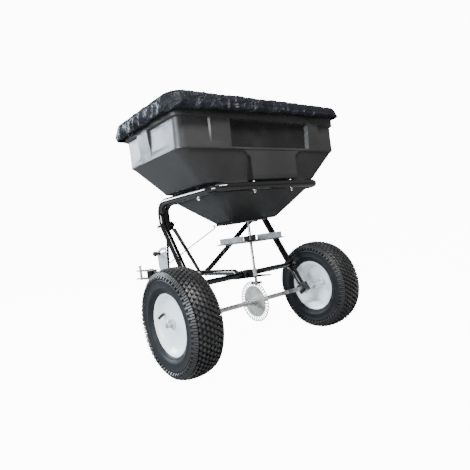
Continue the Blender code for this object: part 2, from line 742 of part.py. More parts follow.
def open_turned(name, profile, matrix, steps):
    """A solid of revolution whose outline starts and ends on the axis."""
    shape = bmesh.new()
    line = [shape.verts.new((radius, 0.0, height)) for radius, height in profile]
    for a, b in zip(line, line[1:]):
        shape.edges.new((a, b))
    mesh = bpy.data.meshes.new(name)
    shape.to_mesh(mesh)
    shape.free()
    made = add_object(name, mesh, matrix)
    spin = made.modifiers.new("turned", "SCREW")
    spin.steps = steps
    spin.render_steps = steps
    spin.use_merge_vertices = True
    spin.merge_threshold = 0.00001
    spin.use_smooth_shade = True
    return made


# ---------------------------------------------------------------- hopper

def hopper_sections():
    """(height, half length, half depth, corner radius) from the rim down to the floor."""
    return [(HOPPER_TOP_Z, 0.3480, 0.1760, 0.036), (HOPPER_TOP_Z - 0.014, 0.3480, 0.1760, 0.036),
            (HOPPER_TOP_Z - 0.0145, 0.3380, 0.1650, 0.030), (0.7340, 0.3375, 0.1640, 0.030),
            (0.6500, 0.3310, 0.1570, 0.030), (0.6465, 0.3265, 0.1520, 0.030), (0.5560, 0.2380, 0.1430, 0.038),
            (0.5522, 0.2050, 0.1385, 0.042), (0.5270, 0.2040, 0.1350, 0.040),
            (HOPPER_FLOOR_Z, FLOOR_HALF_X, FLOOR_HALF_Y, 0.012)]


def rounded_rectangle(half_x, half_y, radius, steps=4):
    points = []
    for i, (sx, sy) in enumerate(((1, 1), (-1, 1), (-1, -1), (1, -1))):
        centre = (sx * (half_x - radius), sy * (half_y - radius))
        start = i * math.pi / 2.0
        points += arc(centre, radius, start, start + math.pi / 2.0, steps)
    return points


def loft(shape, sections, centre_y):
    """Skins the sections in order and closes the first and the last."""
    rings = []
    for z, half_x, half_y, radius in sections:
        outline = rounded_rectangle(half_x, half_y, radius)
        rings.append([shape.verts.new((x, centre_y + y, z)) for x, y in outline])
    for first, second in zip(rings, rings[1:]):
        count = len(first)
        for i in range(count):
            j = (i + 1) % count
            shape.faces.new((first[i], first[j], second[j], second[i]))
    shape.faces.new(rings[0])
    shape.faces.new(list(reversed(rings[-1])))


def add_hopper():
    """Moulded hopper: one wall thickness, open at the top, with a shaft hole and two outlets in its floor."""
    outer = hopper_sections()
    inner = [(z, half_x - HOPPER_WALL, half_y - HOPPER_WALL, max(radius - HOPPER_WALL, 0.004))
             for z, half_x, half_y, radius in outer]
    inner[0] = (HOPPER_TOP_Z, *inner[2][1:])
    inner[1] = (HOPPER_TOP_Z - 0.010, *inner[2][1:])
    inner[-1] = (HOPPER_FLOOR_Z + HOPPER_WALL, FLOOR_HALF_X - 0.001, FLOOR_HALF_Y - 0.001, 0.012)
    shape = bmesh.new()
    loft(shape, outer[::-1] + inner, HOPPER_Y)
    hopper = add_object("hopper", mesh_from("hopper", shape))
    cut_floor(hopper, "hopper", HOPPER_FLOOR_Z)
    smooth(hopper, 20.0)


def floor_holes():
    """The shaft hole and the two outlets, in (x, y)."""
    holes = [circle((0.0, 0.0), 0.0095, 24)]
    for sign in (-1.0, 1.0):
        x = sign * OUTLET_X
        half_x = OUTLET_WIDTH / 2.0
        half_y = OUTLET_LENGTH / 2.0
        holes.append([(x - half_x, OUTLET_Y - half_y), (x + half_x, OUTLET_Y - half_y),
                      (x + half_x, OUTLET_Y + half_y), (x - half_x, OUTLET_Y + half_y)])
    return holes


def cut_floor(target, name, z):
    for i, outline in enumerate(floor_holes()):
        shape = bmesh.new()
        add_prism(shape, [Vector((x, y, z - 0.02)) for x, y in outline], Vector((0.0, 0.0, 0.04)))
        join(target, "%s_cut_%d" % (name, i), shape, "DIFFERENCE")


def add_cover():
    """Elastic rain cover: a soft cap over the hopper's lip."""
    crest = HOPPER_TOP_Z + COVER_CREST
    outer = [(crest, COVER_HALF_X - 0.060, COVER_HALF_Y - 0.058, 0.050),
             (crest - 0.003, COVER_HALF_X - 0.022, COVER_HALF_Y - 0.022, 0.044),
             (HOPPER_TOP_Z + 0.003, COVER_HALF_X - 0.002, COVER_HALF_Y - 0.002, 0.042),
             (HOPPER_TOP_Z - 0.018, COVER_HALF_X, COVER_HALF_Y, 0.042),
             (HOPPER_TOP_Z - 0.034, COVER_HALF_X - 0.0085, COVER_HALF_Y - 0.0085, 0.0390)]
    inner = [(crest - 0.0025, COVER_HALF_X - 0.061, COVER_HALF_Y - 0.059, 0.050),
             (crest - 0.0055, COVER_HALF_X - 0.024, COVER_HALF_Y - 0.024, 0.043),
             (HOPPER_TOP_Z + 0.0015, COVER_HALF_X - 0.0045, COVER_HALF_Y - 0.0045, 0.041),
             (HOPPER_TOP_Z - 0.0175, COVER_HALF_X - 0.0030, COVER_HALF_Y - 0.0030, 0.041),
             (HOPPER_TOP_Z - 0.034, COVER_HALF_X - 0.0110, COVER_HALF_Y - 0.0110, 0.0370)]
    shape = bmesh.new()
    loft(shape, outer + inner[::-1], HOPPER_Y)
    smooth(add_object("rain_cover", mesh_from("rain_cover", shape)))


def add_drawcord():
    """The cover's elastic drawcord: a short loop that hangs from the hem at the left end."""
    x = 0.0083 - COVER_HALF_X
    top = HOPPER_TOP_Z - 0.0345
    centre_y = 0.072
    points = []
    steps = 18
    for i in range(steps + 1):
        angle = math.pi * i / steps
        sway = 0.0015 * math.sin(2.0 * angle)
        points.append(Vector((x - 0.0015 * math.sin(angle) + sway, centre_y - 0.011 * math.cos(angle),
                              top - 0.028 * math.sin(angle) ** 0.8)))
    tube("cover_drawcord", points, 0.0011, 2)


# ---------------------------------------------------------------- flow control

def add_flow_plates():
    """Fixed flow plate under the hopper, the sliding gate below it and the rails that carry the gate."""
    top = HOPPER_FLOOR_Z - GAP
    outline = rounded_rectangle(FLOOR_HALF_X - 0.018, FLOOR_HALF_Y + 0.002, 0.006, 3)
    outline = [(x - 0.022, y + HOPPER_Y) for x, y in outline]
    plate("flow_plate", [outline] + floor_holes(), FLOW_PLATE_SHEET,
          Matrix.Translation((0.0, 0.0, top - FLOW_PLATE_SHEET / 2.0)))
    gate_z = top - FLOW_PLATE_SHEET - 0.0005 - GATE_SHEET / 2.0
    add_gate(gate_z)
    add_rails(top - FLOW_PLATE_SHEET - GAP, gate_z)
    turned("upper_bearing", [(0.0090, top + 0.012), (0.0090, top - FLOW_PLATE_SHEET - 0.0001),
                             (SHAFT_RADIUS + 0.0005, top - FLOW_PLATE_SHEET - 0.0001),
                             (SHAFT_RADIUS + 0.0005, top + 0.012)], Matrix(), 24)
    return gate_z


def add_gate(z):
    half = 0.0430
    rear = OUTLET_Y - OUTLET_LENGTH / 2.0 - 0.006
    slot = 0.0085
    outline = [(-half, rear), (-slot, rear), (-slot, 0.010), (slot, 0.010), (slot, rear), (half, rear),
               (half, 0.088), (-0.030, 0.098), (-0.034, ROD_HOOK_Y + 0.009), (-0.056, ROD_HOOK_Y + 0.009),
               (-0.056, ROD_HOOK_Y - 0.009), (-half, 0.098)]
    plate("flow_gate", [outline, circle((ROD_HOOK_X, ROD_HOOK_Y), ROD_RADIUS + 0.0004, 16)], GATE_SHEET,
          Matrix.Translation((0.0, 0.0, z)))


def add_rails(top, gate_z):
    """Folded rails: a spacer beside the gate and a lip under its edge."""
    lip_top = gate_z - GATE_SHEET / 2.0 - 0.0005
    lip_low = lip_top - 0.0020
    for side, outer, middle_y, length in (("left", 0.0980, 0.0080, 0.084), ("right", 0.0540, 0.0320, 0.040)):
        sign = side_sign(side)
        outline = [(sign * 0.0436, top), (sign * outer, top), (sign * outer, lip_low), (sign * 0.0370, lip_low),
                   (sign * 0.0370, lip_top), (sign * 0.0436, lip_top)]
        place = Matrix(((1, 0, 0, 0), (0, 0, -1, middle_y), (0, 1, 0, 0), (0, 0, 0, 1)))
        plate(side + "_gate_rail", [outline], length, place)


def lever_turn():
    return Matrix.Translation((0.0, LEVER_Y, LEVER_Z)) @ Matrix.Rotation(LEVER_LEAN, 4, "X")


def add_lever():
    """Flat lever on the drawbar's left side, with a slot for the link rod and a grip."""
    half = 0.0070
    outline = arc((0.0, 0.0), half + 0.003, math.pi, math.tau, 10)
    outline += [(half, 0.030), (half, LEVER_LENGTH), (-half, LEVER_LENGTH), (-half, 0.030)]
    slot = arc((0.0, LEVER_ARM + 0.0030), ROD_RADIUS + 0.0007, 0.0, math.pi, 6)
    slot += arc((0.0, LEVER_ARM - 0.0030), ROD_RADIUS + 0.0007, math.pi, math.tau, 6)
    place = lever_turn() @ side_view(LEVER_X)
    plate("control_lever", [outline, circle((0.0, 0.0), BOLT_HOLE, 16), slot], LEVER_SHEET, place)
    grip_low = LEVER_LENGTH + GAP
    profile = [(0.0, grip_low + 0.044), (0.006, grip_low + 0.044), (0.0095, grip_low + 0.038),
               (0.0100, grip_low + 0.020), (0.0085, grip_low + 0.004), (0.0070, grip_low), (0.0, grip_low)]
    open_turned("lever_grip", profile, lever_turn() @ Matrix.Translation((LEVER_X, 0.0, 0.0)), 20)


def add_link_rod(gate_z):
    """Rod from the gate's hook to the lever's slot, both ends bent square."""
    hook = Vector((ROD_HOOK_X, ROD_HOOK_Y, gate_z))
    pin_z = LEVER_Z + LEVER_ARM * math.cos(LEVER_LEAN)
    pin_y = LEVER_Y - LEVER_ARM * math.sin(LEVER_LEAN)
    corners = [hook + Vector((0.0, 0.0, 0.0050)), hook - Vector((0.0, 0.0, 0.0065)),
               Vector((-0.0040, pin_y, pin_z)), Vector((LEVER_X - 0.0042, pin_y, pin_z))]
    tube("link_rod", rounded_path(corners, (0.0030, 0.0030), 5), ROD_RADIUS, 3)


def add_quadrant():
    """Slotted quadrant plate beside the lever; its arc slot carries the adjustable stop."""
    def at(radius, angle):
        return (radius * math.sin(angle), radius * math.cos(angle))

    steps = 14
    start = math.radians(-9.0)
    end = math.radians(34.5)
    outline = [at(0.122, start + (end - start) * i / steps) for i in range(steps + 1)]
    outline += [(0.068, 0.036), (0.058, 0.010), (0.058, -0.008), (-0.010, -0.008), (-0.012, 0.012)]
    slot_start = math.radians(-4.0)
    slot_end = STOP_ANGLE + STOP_TRAVEL + math.radians(2.2)
    half = 0.0036
    angles = [slot_start + (slot_end - slot_start) * i / steps for i in range(steps + 1)]
    slot = [at(QUADRANT_RADIUS + half, angle) for angle in angles]
    slot += [at(QUADRANT_RADIUS - half, angle) for angle in reversed(angles)]
    holes = [circle((0.0, 0.0), BOLT_HOLE, 16), circle((QUADRANT_BOLT_Y, 0.0), BOLT_HOLE, 16), slot]
    place = Matrix.Translation((0.0, LEVER_Y, LEVER_Z)) @ side_view(QUADRANT_X)
    plate("quadrant_plate", [outline] + holes, QUADRANT_SHEET, place)
    left = QUADRANT_X - QUADRANT_SHEET / 2.0
    for name, y in (("lever_pivot_bolt", LEVER_Y), ("quadrant_bolt", LEVER_Y + QUADRANT_BOLT_Y)):
        bolt(name, (left, y, LEVER_Z), (DRAWBAR_RADIUS, y, LEVER_Z))


def add_flow_stop():
    """Stop bolt in the quadrant's slot, with a pointer plate and a wing knob outside."""
    y = LEVER_Y + QUADRANT_RADIUS * math.sin(STOP_ANGLE)
    z = LEVER_Z + QUADRANT_RADIUS * math.cos(STOP_ANGLE)
    outside = QUADRANT_X - QUADRANT_SHEET / 2.0 - GAP

    profile = [(0.0, 0.0), (0.0028, 0.0), (0.0028, 0.0118), (0.0085, 0.0118), (0.0085, 0.0148),
               (0.0040, 0.0150), (0.0040, 0.0240), (0.0090, 0.0250), (0.0110, 0.0290), (0.0110, 0.0400),
               (0.0090, 0.0430), (0.0, 0.0430)]
    start_x = outside + 0.0118
    open_turned("flow_stop", [(radius, height) for radius, height in reversed(profile)],
                along_x(start_x, y, z), 24)


# ---------------------------------------------------------------- build

BLACK_STEEL = ("hopper_ring", "left_leg", "right_leg", "left_axle_bracket", "right_axle_bracket", "front_arch",
               "cross_tube", "shaft_bracket", "cross_saddle", "drawbar", "left_brace", "right_brace",
               "clevis_block", "flow_plate", "left_gate_rail", "right_gate_rail", "control_lever")
ZINC = ("axle", "left_washer", "right_washer", "left_cotter_pin", "right_cotter_pin", "gear_collar",
        "impeller_shaft", "agitator", "lower_clevis_plate", "upper_clevis_plate", "hitch_pin", "flow_gate",
        "link_rod", "lever_pivot_bolt", "quadrant_bolt", "left_cross_bolt", "right_cross_bolt", "left_leg_bolt",
        "right_leg_bolt", "brace_bolt", "rear_clevis_bolt", "front_clevis_bolt", "drive_gear", "left_hub",
        "right_hub")
BLACK_PLASTIC = ("hopper", "lever_grip", "flow_stop", "pinion", "left_axle_bush", "right_axle_bush")
RUBBER = ("left_tyre", "right_tyre", "left_valve_stem", "right_valve_stem")
PAINTED_RIM = ("left_rim", "right_rim")
PALE_PLASTIC = ("quadrant_plate", "lower_bearing", "upper_bearing")
DARK_STEEL = ("impeller",)
CLOTH = ("rain_cover", "cover_drawcord")


def make_materials():
    groups = ((BLACK_STEEL, (0.012, 0.012, 0.013), 0.22, 0.0), (ZINC, (0.68, 0.69, 0.68), 0.34, 1.0),
              (BLACK_PLASTIC, (0.035, 0.035, 0.037), 0.52, 0.0), (RUBBER, (0.030, 0.031, 0.033), 0.75, 0.0),
              (PAINTED_RIM, (0.78, 0.81, 0.83), 0.38, 0.2), (PALE_PLASTIC, (0.82, 0.84, 0.86), 0.45, 0.0),
              (DARK_STEEL, (0.30, 0.30, 0.31), 0.40, 0.8), (CLOTH, (0.020, 0.021, 0.023), 0.42, 0.0))
    return {name: material(name, color, roughness, metallic)
            for names, color, roughness, metallic in groups for name in names}


clear_scene()
PARTS = new_collection("tow_behind_spreader")
CUTTERS = new_collection("cutters")
ROOT = bpy.data.objects.new("axle_on_ground", None)
ROOT.location = (0.0, AXLE_Y, 0.0)
PARTS.objects.link(ROOT)
bpy.context.view_layer.update()
MATERIALS = make_materials()


def main():
    for side in ("left", "right"):
        mirrored = side == "right"
        add_tyre(side, mirrored)
        add_rim(side, mirrored)
        add_hub(side, mirrored)
        add_valve(side)
    add_axle()
    add_gear()
    add_spinner()
    add_ring()
    add_legs()
    add_arch()
    cross = add_cross_tube()
    plate_top = add_shaft_support(cross)
    add_drawbar(cross, plate_top)
    add_braces()
    add_hitch()
    add_hopper()
    add_cover()
    add_drawcord()
    gate_z = add_flow_plates()
    add_lever()
    add_link_rod(gate_z)
    add_quadrant()
    add_flow_stop()


main()
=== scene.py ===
import math

import bmesh
import bpy
from mathutils import Matrix, Vector, noise


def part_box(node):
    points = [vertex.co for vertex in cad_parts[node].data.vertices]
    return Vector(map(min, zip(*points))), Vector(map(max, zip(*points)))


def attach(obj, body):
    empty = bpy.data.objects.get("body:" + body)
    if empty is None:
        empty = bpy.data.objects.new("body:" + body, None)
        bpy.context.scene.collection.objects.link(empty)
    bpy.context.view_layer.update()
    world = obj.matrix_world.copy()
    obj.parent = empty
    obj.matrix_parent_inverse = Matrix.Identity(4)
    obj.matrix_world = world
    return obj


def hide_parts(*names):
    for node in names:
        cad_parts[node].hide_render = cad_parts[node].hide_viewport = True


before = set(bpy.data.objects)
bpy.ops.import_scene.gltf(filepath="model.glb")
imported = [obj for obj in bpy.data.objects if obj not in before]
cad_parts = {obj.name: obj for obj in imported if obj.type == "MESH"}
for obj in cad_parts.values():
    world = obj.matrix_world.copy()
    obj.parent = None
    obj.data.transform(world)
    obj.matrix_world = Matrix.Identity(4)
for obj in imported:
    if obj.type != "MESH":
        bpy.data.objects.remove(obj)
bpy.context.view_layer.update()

# Measures taken from the frame, in metres.
AXLE_LOW, AXLE_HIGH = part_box("axle")
AXLE_Y = (AXLE_LOW.y + AXLE_HIGH.y) / 2.0
AXLE_Z = (AXLE_LOW.z + AXLE_HIGH.z) / 2.0
HOPPER_LOW, HOPPER_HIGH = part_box("hopper")
HOPPER_Y = (HOPPER_LOW.y + HOPPER_HIGH.y) / 2.0
COVER_LOW, COVER_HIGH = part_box("rain_cover")
COVER_Y = (COVER_LOW.y + COVER_HIGH.y) / 2.0
TYRE_LOW, TYRE_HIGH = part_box("right_tyre")
WHEEL_X = (TYRE_LOW.x + TYRE_HIGH.x) / 2.0
RING_LOW, RING_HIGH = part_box("hopper_ring")
TUBE_RADIUS = 0.0127
RING_Z = RING_HIGH.z - TUBE_RADIUS


# ---------------------------------------------------------------- finishes

# Sockets of Blender's mix node when it mixes colours.
MIX_FACTOR, MIX_FIRST, MIX_SECOND, MIX_RESULT = 0, 6, 7, 2


class Value:
    """A number or pattern in a finish that can be added to another or scaled."""

    def __init__(self, finish, socket):
        self.finish = finish
        self.socket = socket

    def combined(self, operation, first, second):
        return self.finish.node("ShaderNodeMath", {"operation": operation}, {0: first, 1: second})

    def __add__(self, other):
        return self.combined("ADD", self, other)

    def __radd__(self, other):
        return self.combined("ADD", other, self)

    def __mul__(self, other):
        return self.combined("MULTIPLY", self, other)

    def __rmul__(self, other):
        return self.combined("MULTIPLY", other, self)


class Finish:
    """One surface finish, built up from patterns laid over the object's own coordinates."""

    def __init__(self, name, colour, roughness, metallic=0.0, coat=0.0, coat_roughness=0.05):
        self.material = bpy.data.materials.new(name)
        self.material.use_nodes = True
        self.material.diffuse_color = (*colour, 1.0)
        self.tree = self.material.node_tree
        self.surface = next(n for n in self.tree.nodes if n.type == "BSDF_PRINCIPLED")
        self.set("Base Color", (*colour, 1.0))
        self.set("Roughness", roughness)
        self.set("Metallic", metallic)
        self.set("Coat Weight", coat)
        self.set("Coat Roughness", coat_roughness)
        self.place = self.node("ShaderNodeTexCoord", output="Object")

    def node(self, kind, settings=None, inputs=None, output=0):
        made = self.tree.nodes.new(kind)
        for key, value in (settings or {}).items():
            setattr(made, key, value)
        for key, value in (inputs or {}).items():
            self.join(value, made.inputs[key])
        return Value(self, made.outputs[output])

    def join(self, value, socket):
        if isinstance(value, Value):
            self.tree.links.new(value.socket, socket)
        else:
            socket.default_value = value

    def set(self, name, value):
        self.join(value, self.surface.inputs[name])

    def stretched(self, scale):
        return self.node("ShaderNodeMapping", None, {"Vector": self.place, "Scale": scale})

    def cloudy(self, scale, detail=3.0, rough=0.55, stretch=(1.0, 1.0, 1.0)):
        return self.node("ShaderNodeTexNoise", None, {
            "Vector": self.stretched(stretch), "Scale": scale, "Detail": detail, "Roughness": rough})

    def cells(self, scale, feature="F1", stretch=(1.0, 1.0, 1.0)):
        return self.node("ShaderNodeTexVoronoi", {"feature": feature}, {
            "Vector": self.stretched(stretch), "Scale": scale})

    def creases(self, scale, stretch=(1.0, 1.0, 1.0)):
        return self.cells(scale, "DISTANCE_TO_EDGE", stretch)

    def between(self, value, low, high, start=0.0, end=1.0):
        """Smooth step from start to end as the value goes from low to high."""
        return self.node("ShaderNodeMapRange", {"interpolation_type": "SMOOTHSTEP"}, {
            "Value": value, "From Min": low, "From Max": high, "To Min": start, "To Max": end})

    def colour(self, amount, first, second):
        """Base colour that goes from the first to the second with the amount."""
        self.set("Base Color", self.node("ShaderNodeMix", {"data_type": "RGBA"}, {
            MIX_FACTOR: amount, MIX_FIRST: (*first, 1.0), MIX_SECOND: (*second, 1.0)}, MIX_RESULT))

    def roughness(self, value, low, high, start, end):
        self.set("Roughness", self.between(value, low, high, start, end))

    def relief(self, *layers):
        """Surface relief from (height, depth) layers, the lowest first."""
        under = None
        for height, depth in layers:
            inputs = {"Height": height, "Distance": depth, "Strength": 1.0}
            if under is not None:
                inputs["Normal"] = under
            under = self.node("ShaderNodeBump", None, inputs)
        self.set("Normal", under)


def scaled(colour, amount):
    return tuple(channel * amount for channel in colour)


def moulded_plastic():
    """Charcoal rotationally moulded plastic with a fine pebble grain."""
    made = Finish("moulded_plastic", (0.026, 0.026, 0.028), 0.44)
    broad = made.cloudy(7.0)
    made.colour(made.between(broad, 0.35, 0.7), (0.025, 0.0245, 0.0255), (0.034, 0.033, 0.034))
    made.roughness(broad, 0.3, 0.75, 0.32, 0.42)
    made.relief((made.cells(620.0), 0.00022), (made.cloudy(11.0, 2.0), 0.0012))
    return made.material


def painted_shade_wall():
    """The same plastic on the steep drafted walls of the bulge, painted much darker than the rest as shade,
    with a dull drag-marked face.
    """
    made = Finish("painted_shade_wall_plastic", (0.006, 0.006, 0.006), 0.75)
    made.set("Specular IOR Level", 0.12)
    drag = made.cloudy(90.0, 3.0, 0.6, (1.0, 1.0, 0.1))
    made.roughness(drag, 0.3, 0.7, 0.65, 0.85)
    made.relief((drag, 0.0002))
    return made.material


def painted_shade_recess():
    """The flat, finely textured floor of the middle recess, painted darker than the plastic round it as shade.
    """
    made = Finish("painted_shade_recess_plastic", (0.012, 0.012, 0.012), 0.55)
    made.set("Specular IOR Level", 0.30)
    mottle = made.between(made.cloudy(12.0, 4.0), 0.35, 0.7)
    made.colour(mottle, (0.008, 0.008, 0.008), (0.015, 0.015, 0.015))
    made.relief((made.cells(900.0), 0.0002))
    return made.material


def gloss_paint():
    """Black powder coat with a slight orange peel."""
    made = Finish("gloss_black_paint", (0.004, 0.004, 0.0045), 0.16, 0.0, 0.6, 0.03)
    made.roughness(made.cloudy(30.0), 0.35, 0.7, 0.05, 0.10)
    made.relief((made.cloudy(420.0, 2.0), 0.00004))
    return made.material


def zinc_plate(name, colour, roughness, streaks):
    """Plated or galvanised steel with faint drawn streaks and a crystalline mottle."""
    made = Finish(name, colour, roughness, 1.0)
    lines = made.cloudy(60.0, 4.0, 0.6, streaks)
    mottle = made.cells(150.0) * 0.5 + lines * 0.5
    made.colour(made.between(mottle, 0.25, 0.7), scaled(colour, 0.72), colour)
    made.roughness(lines, 0.3, 0.7, roughness - 0.06, roughness + 0.12)
    made.relief((lines, 0.00008))
    return made.material


def rim_paint():
    """White baked enamel on pressed steel, with a little road dust."""
    made = Finish("white_rim_enamel", (0.80, 0.84, 0.87), 0.34, 0.0, 0.3, 0.1)
    dust = made.cloudy(26.0, 5.0, 0.65)
    made.colour(made.between(dust, 0.45, 0.75), (0.93, 0.97, 0.99), (0.80, 0.85, 0.90))
    made.roughness(dust, 0.35, 0.75, 0.28, 0.48)
    made.relief((made.cloudy(300.0, 2.0), 0.0001))
    return made.material


def tyre_rubber(name, colour, roughness, sheen):
    """Black rubber with a faint dusty bloom."""
    made = Finish(name, colour, roughness)
    made.set("Specular IOR Level", sheen)
    dust = made.cloudy(35.0, 5.0, 0.65)
    made.colour(made.between(dust, 0.42, 0.8), colour, scaled(colour, 1.7))
    made.roughness(dust, 0.35, 0.75, roughness - 0.06, roughness + 0.1)
    made.relief((made.cloudy(900.0, 2.0), 0.0001))
    return made.material


def crinkled_nylon():
    """Thin coated nylon, with a fine weave and three sizes of sharp little creases."""
    made = Finish("crinkled_nylon", (0.006, 0.007, 0.009), 0.42)
    made.set("Specular IOR Level", 0.17)
    made.colour(made.cloudy(14.0, 4.0), (0.004, 0.0045, 0.0062), (0.013, 0.0148, 0.021))
    made.roughness(made.cloudy(40.0), 0.3, 0.7, 0.34, 0.50)
    made.relief((made.cloudy(2600.0, 1.0), 0.00005),
                (made.creases(38.0, (1.0, 1.0, 1.3)), 0.0030),
                (made.creases(150.0, (1.0, 1.4, 0.8)), 0.0012),
                (made.creases(85.0), 0.0026))
    return made.material


def braided_elastic():
    """Dark elastic cord with a diagonal plait."""
    made = Finish("braided_elastic", (0.012, 0.012, 0.013), 0.6)
    plait = made.node("ShaderNodeTexWave", {"wave_type": "BANDS", "bands_direction": "DIAGONAL"}, {
        "Vector": made.place, "Scale": 420.0, "Distortion": 1.5})
    made.colour(plait, (0.007, 0.007, 0.008), (0.030, 0.030, 0.033))
    made.relief((plait, 0.0004))
    return made.material


def pale_plastic():
    """Light grey moulded plastic with a soft mottle."""
    colour = (0.50, 0.54, 0.58)
    made = Finish("pale_plastic", colour, 0.35)
    made.colour(made.between(made.cloudy(60.0), 0.35, 0.7), colour, scaled(colour, 0.88))
    made.relief((made.cloudy(700.0, 2.0), 0.00006))
    return made.material


def grained_plastic():
    """Black moulded plastic with a leathery grain."""
    made = Finish("black_grained_plastic", (0.016, 0.016, 0.017), 0.50)
    made.roughness(made.cloudy(50.0), 0.35, 0.7, 0.42, 0.60)
    made.relief((made.cells(900.0), 0.0002))
    return made.material


PLASTIC = moulded_plastic()
# Painted shade: darker plastic for the side walls of the bulge.
SHADED_WALL = painted_shade_wall()
# Painted shade: darker plastic for the floor of the middle recess.
SHADED_RECESS = painted_shade_recess()
PAINT = gloss_paint()
ZINC = zinc_plate("zinc_plate", (0.72, 0.73, 0.72), 0.30, (1.0, 0.2, 0.2))
GEAR_STEEL = zinc_plate("stamped_gear_steel", (0.78, 0.76, 0.73), 0.50, (0.2, 1.0, 1.0))
DISC_STEEL = zinc_plate("galvanised_disc", (0.17, 0.175, 0.185), 0.44, (1.0, 1.0, 0.3))
ENAMEL = rim_paint()
TREAD = tyre_rubber("tread_rubber", (0.020, 0.020, 0.021), 0.46, 0.5)
SIDEWALL = tyre_rubber("sidewall_rubber", (0.009, 0.010, 0.012), 0.50, 0.2)
VALVE = tyre_rubber("valve_rubber", (0.008, 0.008, 0.008), 0.50, 0.4)
NYLON = crinkled_nylon()
BRAID = braided_elastic()
PALE = pale_plastic()
DARK = grained_plastic()

NODE_FINISHES = (
    (PAINT, (
        "hopper_ring", "left_leg", "right_leg", "left_axle_bracket", "right_axle_bracket", "front_arch",
        "cross_tube", "shaft_bracket", "cross_saddle", "drawbar", "left_brace", "right_brace", "clevis_block",
        "flow_plate", "left_gate_rail", "right_gate_rail", "control_lever")),
    (ZINC, (
        "axle", "left_washer", "right_washer", "left_cotter_pin", "right_cotter_pin", "gear_collar",
        "impeller_shaft", "agitator", "lower_clevis_plate", "upper_clevis_plate", "hitch_pin", "flow_gate",
        "link_rod", "lever_pivot_bolt", "quadrant_bolt", "left_cross_bolt", "right_cross_bolt",
        "left_leg_bolt", "right_leg_bolt", "brace_bolt", "rear_clevis_bolt", "front_clevis_bolt",
        "left_hub", "right_hub")),
    (GEAR_STEEL, ("drive_gear",)),
    (DISC_STEEL, ("impeller",)),
    (VALVE, ("left_valve_stem", "right_valve_stem")),
    (PALE, ("quadrant_plate", "lower_bearing", "upper_bearing")),
    (DARK, ("lever_grip", "flow_stop", "pinion", "left_axle_bush", "right_axle_bush")),
)
WELD_DISTANCE = 0.00001
SHARP_EDGE = 38.0


def soften(node):
    """Shades round walls smoothly and keeps real edges sharp, leaving every point where it is."""
    if "custom_normal" in node.data.attributes:
        node.data.attributes.remove(node.data.attributes["custom_normal"])
    for face in node.data.polygons:
        face.use_smooth = True
    weld = node.modifiers.new("weld", "WELD")
    weld.merge_threshold = WELD_DISTANCE
    edges = node.modifiers.new("sharp_edges", "EDGE_SPLIT")
    edges.split_angle = math.radians(SHARP_EDGE)


for finish, names in NODE_FINISHES:
    for name in names:
        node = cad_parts[name]
        for slot in node.material_slots:
            slot.material = finish
        soften(node)


# ---------------------------------------------------------------- making pieces

def placed(name, data):
    """New object in the scene."""
    made = bpy.data.objects.new(name, data)
    bpy.context.scene.collection.objects.link(made)
    return made


def piece(name, shape, finishes, body, sharp):
    """Turns a finished shape into an object that moves with one body; edges over the angle stay sharp."""
    bmesh.ops.remove_doubles(shape, verts=shape.verts[:], dist=0.00002)
    bmesh.ops.recalc_face_normals(shape, faces=shape.faces[:])
    for face in shape.faces:
        face.smooth = True
    for edge in shape.edges:
        edge.smooth = len(edge.link_faces) == 2 and edge.calc_face_angle(0.0) < math.radians(sharp)
    mesh = bpy.data.meshes.new(name)
    shape.to_mesh(mesh)
    shape.free()
    made = placed(name, mesh)
    for finish in finishes:
        mesh.materials.append(finish)
    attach(made, body)
    return made


def add_wall(thing, thickness):
    """Gives a skin its thickness, inwards."""
    wall = thing.modifiers.new("wall", "SOLIDIFY")
    wall.thickness = thickness
    wall.offset = -1.0


def add_bevel(thing, name, width, angle):
    """Rounds the edges that turn more than the angle."""
    edge = thing.modifiers.new(name, "BEVEL")
    edge.width = width
    edge.segments = 2
    edge.limit_method = "ANGLE"
    edge.angle_limit = math.radians(angle)


def oriented(shape, place):
    bmesh.ops.transform(shape, matrix=place, verts=shape.verts[:])
    return shape


def spun(shape, profile, place, steps):
    """Spins a closed profile of (radius, along) points round the X axis of place."""
    verts = [shape.verts.new((along, 0.0, radius)) for radius, along in profile]
    edges = [shape.edges.new(pair) for pair in zip(verts, verts[1:] + verts[:1])]
    bmesh.ops.spin(shape, geom=verts + edges, cent=(0.0, 0.0, 0.0), axis=(1.0, 0.0, 0.0),
                   angle=math.tau, steps=steps, use_merge=True)
    return oriented(shape, place)


def stub(shape, place, radius, height, sides=6, top=0.94):
    """Short upright prism for a nut, a washer or a screw head; top is its upper radius over its lower."""
    bmesh.ops.create_cone(shape, cap_ends=True, segments=sides, radius1=radius, radius2=radius * top,
                          depth=height, matrix=Matrix.Translation(place))


def clamped(value):
    return max(0.0, min(1.0, value))


def smooth_step(value):
    value = clamped(value)
    return value * value * (3.0 - 2.0 * value)


# ---------------------------------------------------------------- hopper

